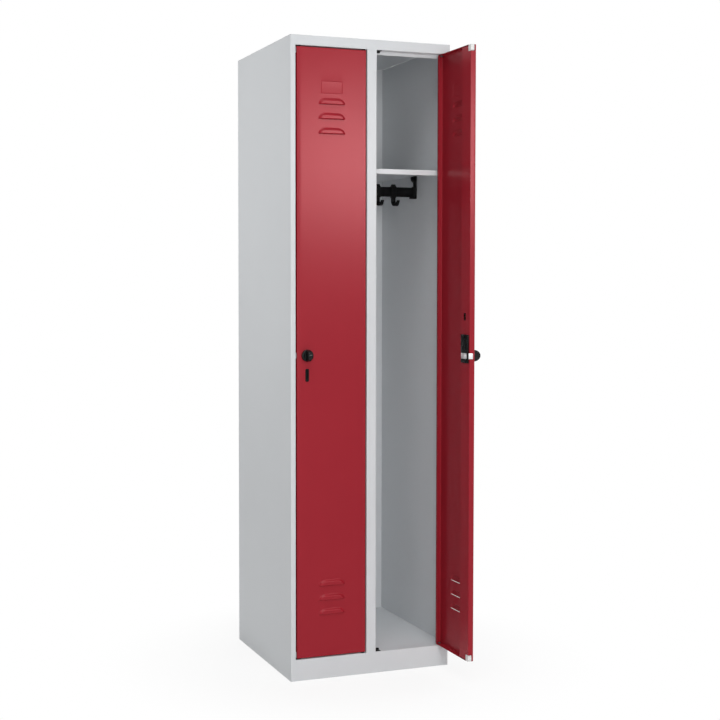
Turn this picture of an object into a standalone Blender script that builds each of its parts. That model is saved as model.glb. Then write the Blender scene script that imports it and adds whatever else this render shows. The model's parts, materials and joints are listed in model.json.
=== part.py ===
"""Two-compartment sheet-steel clothes locker on a plinth, left door shut and right door open.

Frame: metres, +Z up, X across the front, +Y from the front face to the back.
The origin lies on the floor at mid-width of the front face.
Both doors hang on their right-hand edge and latch on their left.
"""

import math

import bmesh
import bpy
from mathutils import Matrix, Vector

# Overall size
WIDTH = 0.500
DEPTH = 0.500
HEIGHT = 1.850

# Sheet metal
SHEET = 0.0008
FOLD_RADIUS = 0.002
SEAM = 0.0003

# Front frame
STILE = 0.015
POST = 0.030
TOP_RAIL = 0.029
PLINTH = 0.062
FRAME_DEPTH = 0.024
STOP_LIP = 0.010
FOOT_FLANGE = 0.020
ROOF_HEM = 0.015

# Doors
DOOR_GAP = 0.0025
DOOR_THICK = 0.017
DOOR_FOLD = 0.003
HINGE_LIP = 0.010
LIP_RELIEF = 0.004
PIVOT_INSET = 0.007
PIVOT_SET = 0.007
RIGHT_DOOR_TURN = 90.0
STIFFENER_WIDTH = 0.056
STIFFENER_FLANGE = 0.010
SIGHT_SLOT_WIDTH = 0.014
SIGHT_SLOT_HEIGHT = 0.021
SIGHT_SLOT_Z = 1.0515

# Louvres and label frame pressed into the door sheet
LOUVRE_WIDTH = 0.083
LOUVRE_RISE = 0.0175
LOUVRE_PROUD = 0.0045
LOUVRE_CORNER = 0.015
LOUVRE_SLOPE = 0.0036
LOUVRE_LANCE = 0.0006
LOUVRE_PITCH = 0.042
LOUVRE_ROWS = 3
LOUVRE_UPPER_DROP = 0.2455
LOUVRE_LOWER_RISE = 0.1225
LABEL_WIDTH = 0.066
LABEL_HEIGHT = 0.036
LABEL_DROP = 0.113
LABEL_RIB = 0.0018
LABEL_PROUD = 0.0005

# Pivot hinges
PIN_RADIUS = 0.003
PIN_HEAD_RADIUS = 0.0044
PIN_HEAD = 0.003
PIN_REACH = 0.006
BUSH_RADIUS = 0.0045
BUSH_FLANGE_RADIUS = 0.0065
BUSH_FLANGE = 0.0019
BUSH_LENGTH = 0.008

# Corner plugs on the doors and the buffers they close against
PLUG_WIDTH = 0.017
PLUG_HEIGHT = 0.019
PLUG_FRONT = 0.006
BUFFER_WIDTH = 0.017
BUFFER_HEIGHT = 0.0065
BUFFER_CLEAR = 0.0003

# Turn latch
KNOB_FROM_EDGE = 0.032
KNOB_Z = 0.940
KNOB_RADIUS = 0.0175
KNOB_PROUD = 0.032
KNOB_DISC = 0.008
KNOB_CHAMFER = 0.0015
KNOB_WING = 0.014
KNOB_EDGE = 0.0015
KNOB_SOCKET = 0.007
SPINDLE_RADIUS = 0.004
CASE_FROM_EDGE = 0.006
CASE_WIDTH = 0.039
CASE_BELOW = 0.018
CASE_ABOVE = 0.059
CASE_FRONT = 0.005
CASE_PROUD = 0.0042
CASE_BORDER = 0.002
CASE_PAN = 0.0085
CASE_BRIDGE = 0.004
BOLT_HEIGHT = 0.0161
BOLT_FRONT = 0.006
BOLT_BACK = 0.0188
BOLT_HEAD = 0.017
BOLT_TAIL = 0.0048
BOLT_END = 0.0435
BOLT_PAD = 0.0223
BOLT_PAD_CLEAR = 0.0024
CRANK_RADIUS = 0.0055
CRANK_PIN = 0.002
CRANK_DISC = 0.003
CRANK_TURN = 90.0
SLIDE_CLEAR = 0.0004
STRIKE_CLEAR = 0.0012
SLOT_WIDTH = 0.011
SLOT_HEIGHT = 0.037
SLOT_Z = 0.8835
SLOT_PROUD = 0.0008
SLOT_BODY = 0.007
SLOT_RIM = 0.0015
SLOT_MOUTH = 0.005
SLOT_GROOVE = 0.003

# Shelf, coat rail and hooks
HAT_SPACE = 0.368
SHELF_SET = 0.030
SHELF_LIP = 0.015
SHELF_HEM = 0.012
RAIL_Y = 0.235
RAIL_DROP = 0.052
RAIL_HEIGHT = 0.030
RAIL_THICK = 0.008
RAIL_ARM = 0.007
RAIL_ARM_DEPTH = 0.015
RAIL_FOOT = 0.020
RAIL_FOOT_DROP = 0.005
PRONG_RADIUS = 0.017
PRONG_THICK = 0.006
PRONG_BELOW_SHELF = 0.004
HOOK_WIDTH = 0.020
HOOK_PITCH = 0.053
HOOK_SHIFT = -0.006
HOOK_CLEAR = 0.0004
HOOK_WALL = 0.0032
HOOK_NUB = 0.005
HOOK_NUB_WIDTH = 0.008
HOOK_STEM = 0.006
HOOK_THROAT = 0.030
HOOK_DROP = 0.013
HOOK_BOWL = 0.010
HOOK_SWEEP = 125
HOOK_TIP = 0.002
SCREW_RADIUS = 0.0018
SCREW_HEAD_RADIUS = 0.0036
SCREW_HEAD = 0.0022
SCREW_LENGTH = 0.012

# Round shapes
ROUND_STEPS = 24
SMALL_STEPS = 16
FOLD_STEPS = 3
ARC_STEPS = 8
REACH = 0.010

# Worked-out places
OPENING = (WIDTH - 2 * STILE - POST) / 2
DOOR_WIDTH = OPENING - 2 * DOOR_GAP
DOOR_BOTTOM = PLINTH + DOOR_GAP
DOOR_TOP = HEIGHT - TOP_RAIL - DOOR_GAP
LATCH_X = PIVOT_INSET - DOOR_WIDTH
SIDE_INNER = WIDTH / 2 - SHEET - SEAM
RAIL_UNDER = HEIGHT - TOP_RAIL
ROOF_UNDER = HEIGHT - SHEET - SEAM
BACK_FRONT = DEPTH - 2 * SHEET - SEAM
INNER_REAR = BACK_FRONT - SEAM
SHELF_TOP = HEIGHT - HAT_SPACE
SHELF_UNDER = SHELF_TOP - SHEET
RAIL_Z = SHELF_TOP - RAIL_DROP
LOUVRE_UPPER_Z = DOOR_TOP - LOUVRE_UPPER_DROP
LOUVRE_LOWER_Z = DOOR_BOTTOM + LOUVRE_LOWER_RISE
LABEL_Z = DOOR_TOP - LABEL_DROP
CRANK_HALF = math.radians(CRANK_TURN) / 2
CRANK_SWING = CRANK_RADIUS * math.sin(CRANK_HALF)
PAD_START = CASE_FROM_EDGE + CASE_BRIDGE + 2 * CRANK_SWING + BOLT_PAD_CLEAR
OPENINGS = {"left": -POST / 2 - OPENING, "right": POST / 2}


def clear_scene():
    for obj in list(bpy.data.objects):
        bpy.data.objects.remove(obj)


def collection(name, helper=False):
    """A new collection in the scene; a helper collection is left out of renders."""
    made = bpy.data.collections.new(name)
    made.hide_render = helper
    bpy.context.scene.collection.children.link(made)
    return made


def material(name, colour, roughness, metallic=0.0):
    made = bpy.data.materials.new(name)
    made.use_nodes = True
    shader = made.node_tree.nodes["Principled BSDF"]
    shader.inputs["Base Color"].default_value = (*colour, 1.0)
    shader.inputs["Roughness"].default_value = roughness
    shader.inputs["Metallic"].default_value = metallic
    return made


clear_scene()
LOCKER = collection("clothes_locker")
CUTTERS = collection("clothes_locker_cutters", helper=True)
GREY_PAINT = material("light_grey_paint", (0.56, 0.57, 0.59), 0.35)
RED_PAINT = material("ruby_red_paint", (0.32, 0.022, 0.034), 0.30)
BLACK_PLASTIC = material("black_plastic", (0.012, 0.012, 0.013), 0.45)
WHITE_PLASTIC = material("white_plastic", (0.80, 0.80, 0.78), 0.45)
ZINC = material("zinc_plate", (0.62, 0.63, 0.65), 0.35, 1.0)
CAST_ALLOY = material("bright_cast_alloy", (0.75, 0.76, 0.77), 0.30, 1.0)
RUBBER = material("black_rubber", (0.015, 0.015, 0.015), 0.75)


def add(name, mesh, parent=None, finish=None, spot=(0, 0, 0)):
    """Links a mesh as a part, or as a wire cutter when it has no finish."""
    obj = bpy.data.objects.new(name, mesh)
    obj.location = spot
    obj.parent = parent
    if finish:
        mesh.materials.clear()
        mesh.materials.append(finish)
        LOCKER.objects.link(obj)
    else:
        obj.hide_render = True
        obj.display_type = "WIRE"
        CUTTERS.objects.link(obj)
    return obj


def mesh_from(bm, name):
    bmesh.ops.recalc_face_normals(bm, faces=bm.faces)
    mesh = bpy.data.meshes.new(name)
    bm.to_mesh(mesh)
    bm.free()
    return mesh


def box_into(bm, low, high):
    """Adds a box between two corners to a bmesh and returns its vertices."""
    low, high = Vector(low), Vector(high)
    size = Matrix.Diagonal((*(high - low), 1.0))
    return bmesh.ops.create_cube(bm, size=1.0, matrix=Matrix.Translation((low + high) / 2) @ size)["verts"]


def box_mesh(name, low, high, round_edges=0.0):
    bm = bmesh.new()
    box_into(bm, low, high)
    if round_edges:
        bmesh.ops.bevel(bm, geom=bm.edges[:], offset=round_edges, segments=2, profile=0.5, affect="EDGES")
    return mesh_from(bm, name)


def cylinder_mesh(name, radius, low, high, steps=SMALL_STEPS, axis="Z"):
    """A closed cylinder along an axis, from low to high on it."""
    bm = bmesh.new()
    turn = {"Z": Matrix(), "Y": Matrix.Rotation(-math.pi / 2, 4, "X")}[axis]
    lift = Matrix.Translation((0, 0, (low + high) / 2))
    bmesh.ops.create_cone(
        bm,
        cap_ends=True,
        segments=steps,
        radius1=radius,
        radius2=radius,
        depth=high - low,
        matrix=turn @ lift,
    )
    return mesh_from(bm, name)


def boolean(obj, other, operation="DIFFERENCE"):
    step = obj.modifiers.new(other.name, "BOOLEAN")
    step.operation = operation
    step.object = other


def cut_box(obj, label, low, high):
    """Cuts a box, given in the part's parent frame, out of a part."""
    cutter = add(f"{obj.name}_{label}_cutter", box_mesh(label, low, high), obj.parent)
    boolean(obj, cutter)


def cut_round(obj, label, radius, x, y, low, high):
    """Cuts a vertical round hole, given in the part's parent frame, out of a part."""
    rod = cylinder_mesh(label, radius, low, high)
    boolean(obj, add(f"{obj.name}_{label}_cutter", rod, obj.parent, spot=(x, y, 0)))


def folded_sheet(name, path, along, start, end, finish=GREY_PAINT, parent=None, fold=FOLD_RADIUS):
    """A folded sheet: the path is its outer line, carried from start to end along X or Z.

    Along Z the path is in (x, y) and the outer side is on its right; along X it is in (y, z).
    """
    bm = bmesh.new()
    if along == "Z":
        points, shift = [(x, y, start) for x, y in path], (0, 0, end - start)
    else:
        points, shift = [(start, y, z) for y, z in path], (end - start, 0, 0)
    corners = [bm.verts.new(point) for point in points]
    edges = [bm.edges.new(pair) for pair in zip(corners, corners[1:])]
    grown = bmesh.ops.extrude_edge_only(bm, edges=edges)["geom"]
    bmesh.ops.translate(bm, verts=[v for v in grown if isinstance(v, bmesh.types.BMVert)], vec=shift)
    bm.normal_update()
    (u0, v0), (u1, v1) = path[:2]
    outward = Vector((v1 - v0, u0 - u1, 0)) if along == "Z" else Vector((0, v1 - v0, u0 - u1))
    if edges[0].link_faces[0].normal.dot(outward) < 0:
        bmesh.ops.reverse_faces(bm, faces=bm.faces)
    mesh = bpy.data.meshes.new(name)
    bm.to_mesh(mesh)
    bm.free()
    obj = add(name, mesh, parent, finish)
    finish_sheet(obj, fold)
    return obj


def finish_sheet(obj, fold):
    """Rounds the folds of an open surface and gives it the sheet's thickness, inwards."""
    bend = obj.modifiers.new("folds", "BEVEL")
    bend.width = fold
    bend.segments = FOLD_STEPS
    bend.limit_method = "ANGLE"
    bend.angle_limit = math.radians(40)
    wall = obj.modifiers.new("sheet", "SOLIDIFY")
    wall.thickness = SHEET
    wall.offset = -1.0
    wall.use_even_offset = True


def outline_mesh(name, loops, thickness):
    """A flat outline in XY with any holes, made a closed mesh of the given thickness about Z = 0."""
    curve = bpy.data.curves.new(name, "CURVE")
    curve.dimensions = "2D"
    curve.fill_mode = "BOTH"
    curve.extrude = thickness / 2
    for loop in loops:
        spline = curve.splines.new("POLY")
        spline.points.add(len(loop) - 1)
        for point, (u, v) in zip(spline.points, loop):
            point.co = (u, v, 0, 1)
        spline.use_cyclic_u = True
    guide = bpy.data.objects.new(name, curve)
    bpy.context.scene.collection.objects.link(guide)
    graph = bpy.context.evaluated_depsgraph_get()
    mesh = bpy.data.meshes.new_from_object(guide.evaluated_get(graph))
    bpy.data.objects.remove(guide)
    bpy.data.curves.remove(curve)
    bm = bmesh.new()
    bm.from_mesh(mesh)
    bpy.data.meshes.remove(mesh)
    bmesh.ops.remove_doubles(bm, verts=bm.verts, dist=1e-6)
    return mesh_from(bm, name)


def turned(name, profile, steps, parent, finish, spot=(0, 0, 0), tilt=(0, 0, 0)):
    """A solid turned about Z from (radius, z) points that run down its outer side."""
    mesh = bpy.data.meshes.new(name)
    mesh.from_pydata([(r, 0, z) for r, z in profile], [(i, i + 1) for i in range(len(profile) - 1)], [])
    obj = add(name, mesh, parent, finish, spot)
    obj.rotation_euler = tilt
    spin = obj.modifiers.new("turn", "SCREW")
    spin.steps = steps
    spin.render_steps = steps
    spin.use_merge_vertices = True
    spin.merge_threshold = 1e-5
    return obj


def round_rim(mesh, size):
    """Rounds the sharp edges of a mesh."""
    bm = bmesh.new()
    bm.from_mesh(mesh)
    sharp = [e for e in bm.edges if len(e.link_faces) == 2 and e.calc_face_angle() > math.radians(40)]
    bmesh.ops.bevel(bm, geom=sharp, offset=size, segments=2, profile=0.5, affect="EDGES")
    bm.to_mesh(mesh)
    bm.free()


def arc(centre, radii, first, last, steps=ARC_STEPS):
    """Points on an ellipse's arc, angles in degrees."""
    angles = [math.radians(first + (last - first) * i / steps) for i in range(steps + 1)]
    return [(centre[0] + radii[0] * math.cos(a), centre[1] + radii[1] * math.sin(a)) for a in angles]


# Cabinet body


def side_panel(side, sign):
    """Side sheet with its rear hem, front stile and the jamb that turns back into the opening."""
    outer = sign * WIDTH / 2
    inner = outer - sign * STILE
    tuck = outer - sign * (SHEET + SEAM)
    path = [(inner, DEPTH), (outer, DEPTH), (outer, 0), (inner, 0), (inner, FRAME_DEPTH), (tuck, FRAME_DEPTH)]
    path = path if sign < 0 else path[::-1]
    return folded_sheet(f"{side}_side_panel", path, "Z", 0, ROOF_UNDER)


def roof_panel():
    """Roof sheet with its front rail, the return under the rail and the door stop lip."""
    path = [
        (DEPTH, HEIGHT - ROOF_HEM),
        (DEPTH, HEIGHT),
        (0, HEIGHT),
        (0, RAIL_UNDER),
        (FRAME_DEPTH, RAIL_UNDER),
        (FRAME_DEPTH, RAIL_UNDER - STOP_LIP),
    ]
    roof = folded_sheet("roof_panel", path, "X", -WIDTH / 2, WIDTH / 2)
    between = WIDTH / 2 - STILE - SEAM
    for side, sign in (("left", -1), ("right", 1)):
        ends = sorted((sign * between, sign * (WIDTH / 2 + REACH)))
        cut_box(roof, f"{side}_stile", (ends[0], -REACH, 0), (ends[1], DEPTH + REACH, HEIGHT - SHEET))
    half = POST / 2 + SEAM
    cut_box(roof, "post", (-half, FRAME_DEPTH - FOLD_RADIUS, 0), (half, FRAME_DEPTH + REACH, RAIL_UNDER))
    return roof


def floor_panel():
    """Floor sheet that folds down in front as the plinth and turns in under it as the foot."""
    path = [
        (INNER_REAR - FOOT_FLANGE, 0),
        (INNER_REAR, 0),
        (INNER_REAR, PLINTH),
        (0, PLINTH),
        (0, 0),
        (FOOT_FLANGE, 0),
    ]
    base = folded_sheet("floor_panel", path, "X", -SIDE_INNER, SIDE_INNER)
    between = WIDTH / 2 - STILE - SEAM
    for side, sign in (("left", -1), ("right", 1)):
        ends = sorted((sign * between, sign * (WIDTH / 2 + REACH)))
        cut_box(base, f"{side}_stile", (ends[0], -REACH, -REACH), (ends[1], FRAME_DEPTH + SEAM, HEIGHT))
    return base


def back_panel():
    fold_room = FOLD_RADIUS - SHEET
    half = SIDE_INNER - fold_room
    low = (-half, BACK_FRONT, 0)
    high = (half, BACK_FRONT + SHEET, ROOF_UNDER - fold_room)
    return add("back_panel", box_mesh("back_panel", low, high), finish=GREY_PAINT)


def centre_post():
    """Box post between the doors, with a slot at its back that takes the partition."""
    slot = SHEET / 2 + SEAM
    path = [
        (-slot, FRAME_DEPTH),
        (-POST / 2, FRAME_DEPTH),
        (-POST / 2, 0),
        (POST / 2, 0),
        (POST / 2, FRAME_DEPTH),
        (slot, FRAME_DEPTH),
    ]
    return folded_sheet("centre_post", path, "Z", PLINTH + SEAM, RAIL_UNDER - SEAM)


def centre_partition():
    low = (-SHEET / 2, SHEET + SEAM, PLINTH + SEAM)
    high = (SHEET / 2, INNER_REAR, ROOF_UNDER)
    wall = add("centre_partition", box_mesh("centre_partition", low, high), finish=GREY_PAINT)
    cut_box(wall, "rail", (-REACH, -REACH, RAIL_UNDER - SEAM), (REACH, FRAME_DEPTH + SHEET + SEAM, HEIGHT))
    return wall


def strike_slot(panel, jamb_x, inwards):
    """Cuts the slot in a jamb that the latch bolt runs into."""
    ends = sorted((jamb_x - inwards * REACH / 2, jamb_x + inwards * REACH / 2))
    half = BOLT_HEIGHT / 2 + STRIKE_CLEAR
    cut_box(
        panel,
        "strike",
        (ends[0], BOLT_FRONT - STRIKE_CLEAR, KNOB_Z - half),
        (ends[1], BOLT_BACK + STRIKE_CLEAR, KNOB_Z + half),
    )


# Fittings between the frame and the doors


def hinge_bush(side, level, roof, base):
    """Plastic bush in the rail above a door or in the floor below it, bored for the hinge pin."""
    x, y = pivot_of(side)
    bore = PIN_RADIUS + SEAM
    name = f"{side}_{level}_hinge_bush"
    if level == "upper":
        seat, sheet_side, host = RAIL_UNDER, 1, roof
    else:
        seat, sheet_side, host = PLINTH, -1, base
    rim = seat - sheet_side * SEAM
    face = rim - sheet_side * BUSH_FLANGE
    top = seat + sheet_side * BUSH_LENGTH
    profile = [
        (bore, top),
        (BUSH_RADIUS, top),
        (BUSH_RADIUS, rim),
        (BUSH_FLANGE_RADIUS, rim),
        (BUSH_FLANGE_RADIUS, face),
        (bore, face),
        (bore, top),
    ]
    profile = profile if level == "upper" else profile[::-1]
    turned(name, profile, SMALL_STEPS, None, BLACK_PLASTIC, (x, y, 0))
    cut_round(host, f"{side}_bush", BUSH_RADIUS + SEAM, x, y, seat - REACH / 2, seat + REACH / 2)


def frame_buffer(side, level):
    """Rubber buffer in the latch corner of an opening, which the door's corner plug closes against."""
    x = OPENINGS[side] + SEAM
    front = DOOR_THICK + BUFFER_CLEAR
    base = RAIL_UNDER - SEAM - BUFFER_HEIGHT if level == "upper" else PLINTH + SEAM
    low = (x, front, base)
    high = (x + BUFFER_WIDTH, FRAME_DEPTH - FOLD_RADIUS, base + BUFFER_HEIGHT)
    name = f"{side}_{level}_door_buffer"
    add(name, box_mesh(name, low, high, SHEET), finish=RUBBER)


# Doors, drawn shut about their pivot: x is measured from the latch edge, y from the front face


def pivot_of(side):
    return OPENINGS[side] + OPENING - DOOR_GAP - PIVOT_INSET, PIVOT_SET


def door_x(from_latch_edge):
    return LATCH_X + from_latch_edge


def door_y(behind_face):
    return behind_face - PIVOT_SET


def louvre_mesh(name, shrink, drop, back):
    """Every louvre of a door as a block with rounded shoulders, cut off flat at its mouth."""
    bm = bmesh.new()
    mid = door_x(DOOR_WIDTH / 2)
    half = LOUVRE_WIDTH / 2 - shrink
    rise = LOUVRE_RISE - shrink
    front = door_y(-LOUVRE_PROUD + shrink)
    for base in (LOUVRE_UPPER_Z, LOUVRE_LOWER_Z):
        for row in range(LOUVRE_ROWS):
            mouth = base + row * LOUVRE_PITCH
            hood = bmesh.new()
            box_into(hood, (mid - half, front, mouth - rise), (mid + half, door_y(back), mouth + rise))
            upright = [e for e in hood.edges if abs(e.verts[0].co.y - e.verts[1].co.y) > SHEET / 2]
            bmesh.ops.bevel(
                hood, geom=upright, offset=LOUVRE_CORNER, segments=FOLD_STEPS, profile=0.5, affect="EDGES"
            )
            rim = [e for e in hood.edges if all(abs(v.co.y - front) < SEAM for v in e.verts)]
            bmesh.ops.bevel(hood, geom=rim, offset=LOUVRE_SLOPE, segments=2, profile=0.5, affect="EDGES")
            everything = hood.verts[:] + hood.edges[:] + hood.faces[:]
            cut = bmesh.ops.bisect_plane(
                hood, geom=everything, plane_co=(0, 0, mouth - drop), plane_no=(0, 0, 1), clear_inner=True
            )
            rim = [e for e in cut["geom_cut"] if isinstance(e, bmesh.types.BMEdge)]
            bmesh.ops.edgeloop_fill(hood, edges=rim)
            bmesh.ops.recalc_face_normals(hood, faces=hood.faces)
            one = bpy.data.meshes.new(name)
            hood.to_mesh(one)
            hood.free()
            bm.from_mesh(one)
            bpy.data.meshes.remove(one)
    return mesh_from(bm, name)


def label_rib_mesh(name):
    """Raised rectangular rib round the label field."""
    mid = door_x(DOOR_WIDTH / 2)
    loops = []
    for inset in (0, LABEL_RIB):
        u, v = LABEL_WIDTH / 2 - inset, LABEL_HEIGHT / 2 - inset
        loops.append([(-u, -v), (u, -v), (u, v), (-u, v)])
    mesh = outline_mesh(name, loops, LABEL_PROUD + SHEET / 2)
    upright = Matrix.Rotation(math.pi / 2, 4, "X")
    y = door_y((SHEET / 2 - LABEL_PROUD) / 2)
    mesh.transform(Matrix.Translation((mid, y, LABEL_Z)) @ upright)
    return mesh


def door_panel(side, pivot):
    """Door sheet folded back on all four edges, with louvres, label rib and the latch cut-outs."""
    name = f"{side}_door_panel"
    bm = bmesh.new()
    box_into(
        bm,
        (door_x(0), door_y(0), DOOR_BOTTOM),
        (door_x(DOOR_WIDTH), door_y(DOOR_THICK), DOOR_TOP),
    )
    open_side = max(bm.faces, key=lambda face: face.calc_center_median().y)
    bmesh.ops.delete(bm, geom=[open_side], context="FACES_ONLY")
    mesh = bpy.data.meshes.new(name)
    bm.to_mesh(mesh)
    bm.free()
    door = add(name, mesh, pivot, RED_PAINT)
    finish_sheet(door, DOOR_FOLD)
    low = (door_x(DOOR_WIDTH - HINGE_LIP), door_y(DOOR_THICK - SHEET), DOOR_BOTTOM + LIP_RELIEF)
    high = (door_x(DOOR_WIDTH - SHEET / 2), door_y(DOOR_THICK), DOOR_TOP - LIP_RELIEF)
    lip = add(f"{name}_hinge_lip", box_mesh("hinge_lip", low, high), pivot)
    boolean(door, lip, "UNION")
    hoods = add(f"{name}_hoods", louvre_mesh("hoods", 0, 0, SHEET / 2), pivot)
    boolean(door, hoods, "UNION")
    rib = add(f"{name}_label_rib", label_rib_mesh("label_rib"), pivot)
    boolean(door, rib, "UNION")
    mouths = add(f"{name}_mouths", louvre_mesh("mouths", SHEET, LOUVRE_LANCE, REACH), pivot)
    boolean(door, mouths)
    return door


def stiffener(side, pivot):
    """Folded channel that closes the latch side of the door into a box."""
    seat = SHEET + SEAM + SHEET
    path = [
        (door_x(STIFFENER_WIDTH + STIFFENER_FLANGE), door_y(seat)),
        (door_x(STIFFENER_WIDTH), door_y(seat)),
        (door_x(STIFFENER_WIDTH), door_y(DOOR_THICK)),
        (door_x(SHEET + SEAM), door_y(DOOR_THICK)),
    ]
    inner = DOOR_FOLD + SEAM
    channel = folded_sheet(
        f"{side}_door_stiffener", path, "Z", DOOR_BOTTOM + inner, DOOR_TOP - inner, RED_PAINT, pivot
    )
    wide, tall = SIGHT_SLOT_WIDTH / 2, SIGHT_SLOT_HEIGHT / 2
    cut_box(
        channel,
        "sight_slot",
        (door_x(KNOB_FROM_EDGE - wide), door_y(DOOR_THICK - REACH / 2), SIGHT_SLOT_Z - tall),
        (door_x(KNOB_FROM_EDGE + wide), door_y(DOOR_THICK + REACH), SIGHT_SLOT_Z + tall),
    )
    return channel


def corner_plug(side, level, pivot, door, channel):
    """Plastic plug in a latch corner of the door; the sheet is cut away round it."""
    if level == "upper":
        low_z, high_z = DOOR_TOP - PLUG_HEIGHT, DOOR_TOP - SEAM
    else:
        low_z, high_z = DOOR_BOTTOM + SEAM, DOOR_BOTTOM + PLUG_HEIGHT
    low = Vector((door_x(SEAM), door_y(PLUG_FRONT), low_z))
    high = Vector((door_x(PLUG_WIDTH), door_y(DOOR_THICK), high_z))
    name = f"{side}_{level}_corner_plug"
    add(name, box_mesh(name, low, high, SHEET), pivot, WHITE_PLASTIC)
    grow = Vector((SEAM, SEAM, SEAM))
    outside = Vector((REACH, 0, REACH if level == "lower" else 0))
    above = Vector((0, REACH, REACH if level == "upper" else 0))
    for sheet in (door, channel):
        cut_box(sheet, f"{level}_plug", low - grow - outside, high + grow + above)


def hinge_pin(side, level, pivot, door):
    """Stepped pin seated in a door edge, turning in the frame's bush."""
    if level == "upper":
        seat, way = DOOR_TOP - SHEET - SEAM, 1
        tip = RAIL_UNDER + PIN_REACH
    else:
        seat, way = DOOR_BOTTOM + SHEET + SEAM, -1
        tip = PLINTH - PIN_REACH
    head = seat - way * PIN_HEAD
    profile = [
        (0, tip),
        (PIN_RADIUS, tip),
        (PIN_RADIUS, seat),
        (PIN_HEAD_RADIUS, seat),
        (PIN_HEAD_RADIUS, head),
        (0, head),
    ]
    profile = profile if level == "upper" else profile[::-1]
    turned(f"{side}_{level}_hinge_pin", profile, SMALL_STEPS, pivot, ZINC)
    cut_round(door, f"{level}_pin", PIN_RADIUS + SEAM, 0, 0, seat - REACH / 4, seat + REACH / 4)


# Turn latch


def lock_case(side, pivot, channel):
    """Case set into the stiffener, hollow along the bolt and bored for the spindle."""
    left, right = CASE_FROM_EDGE, CASE_FROM_EDGE + CASE_WIDTH
    low_z, high_z = KNOB_Z - CASE_BELOW, KNOB_Z + CASE_ABOVE
    face = DOOR_THICK + SEAM
    name = f"{side}_lock_case"
    front_corner = (door_x(left), door_y(CASE_FRONT), low_z)
    rear_corner = (door_x(right), door_y(face + CASE_PROUD), high_z)
    case = add(name, box_mesh(name, front_corner, rear_corner), pivot, BLACK_PLASTIC)
    border = box_mesh(
        "border",
        (door_x(left - CASE_BORDER), door_y(face), low_z - CASE_BORDER),
        (door_x(right + CASE_BORDER), door_y(face + CASE_PROUD), high_z + CASE_BORDER),
    )
    boolean(case, add(f"{name}_border", border, pivot), "UNION")
    run = BOLT_HEIGHT / 2 + SLIDE_CLEAR
    bridge_end = left + CASE_BRIDGE
    cut_box(
        case,
        "window",
        (door_x(bridge_end), door_y(CASE_PAN), KNOB_Z - run),
        (door_x(right + REACH), door_y(face + CASE_PROUD + REACH), KNOB_Z + run),
    )
    cut_box(
        case,
        "tunnel",
        (door_x(-REACH), door_y(BOLT_FRONT - SLIDE_CLEAR), KNOB_Z - run),
        (door_x(BOLT_HEAD + SLIDE_CLEAR), door_y(BOLT_BACK + SLIDE_CLEAR), KNOB_Z + run),
    )
    bore = cylinder_mesh("bore", SPINDLE_RADIUS + SEAM, door_y(0), door_y(DOOR_THICK), axis="Y")
    boolean(case, add(f"{name}_bore", bore, pivot, spot=(door_x(KNOB_FROM_EDGE), 0, KNOB_Z)))
    cut_box(
        channel,
        "lock_case",
        (door_x(left - SEAM), door_y(DOOR_THICK - REACH / 2), low_z - SEAM),
        (door_x(right + SEAM), door_y(DOOR_THICK + REACH), high_z + SEAM),
    )
    cut_box(
        channel,
        "bolt",
        (door_x(-REACH), door_y(BOLT_FRONT - SLIDE_CLEAR), KNOB_Z - run),
        (door_x(left), door_y(DOOR_THICK + REACH), KNOB_Z + run),
    )
    return case


def latch_bolt(side, pivot, door):
    """Sliding bolt: a thick head at the door edge, a forked tail and a pad that fills the case's window."""
    half = BOLT_HEIGHT / 2
    name = f"{side}_latch_bolt"
    bar = box_mesh(
        name,
        (door_x(0), door_y(BOLT_FRONT), -half),
        (door_x(BOLT_END), door_y(BOLT_BACK), half),
    )
    bolt = add(name, bar, pivot, CAST_ALLOY, (0, 0, KNOB_Z))
    pad = box_mesh(
        "pad",
        (door_x(PAD_START), door_y(BOLT_BACK - BOLT_TAIL / 2), -half),
        (door_x(BOLT_END), door_y(BOLT_PAD), half),
    )
    boolean(bolt, add(f"{name}_pad", pad, pivot, spot=(0, 0, KNOB_Z)), "UNION")
    cut_box(
        bolt,
        "crank_room",
        (door_x(BOLT_HEAD), door_y(0), KNOB_Z - BOLT_HEIGHT),
        (door_x(BOLT_END + REACH), door_y(BOLT_BACK - BOLT_TAIL), KNOB_Z + BOLT_HEIGHT),
    )
    pin_x = KNOB_FROM_EDGE + CRANK_SWING
    play = CRANK_PIN + SLIDE_CLEAR
    low_z = CRANK_RADIUS * math.cos(CRANK_HALF) - play
    cut_box(
        bolt,
        "fork",
        (door_x(pin_x - play), door_y(0), KNOB_Z + low_z),
        (door_x(pin_x + play), door_y(DOOR_THICK + REACH), KNOB_Z + half + REACH),
    )
    run = half + SLIDE_CLEAR
    cut_box(
        door,
        "bolt",
        (door_x(-REACH), door_y(BOLT_FRONT - SLIDE_CLEAR), KNOB_Z - run),
        (door_x(CASE_FROM_EDGE), door_y(DOOR_THICK + REACH), KNOB_Z + run),
    )
    return bolt


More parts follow.
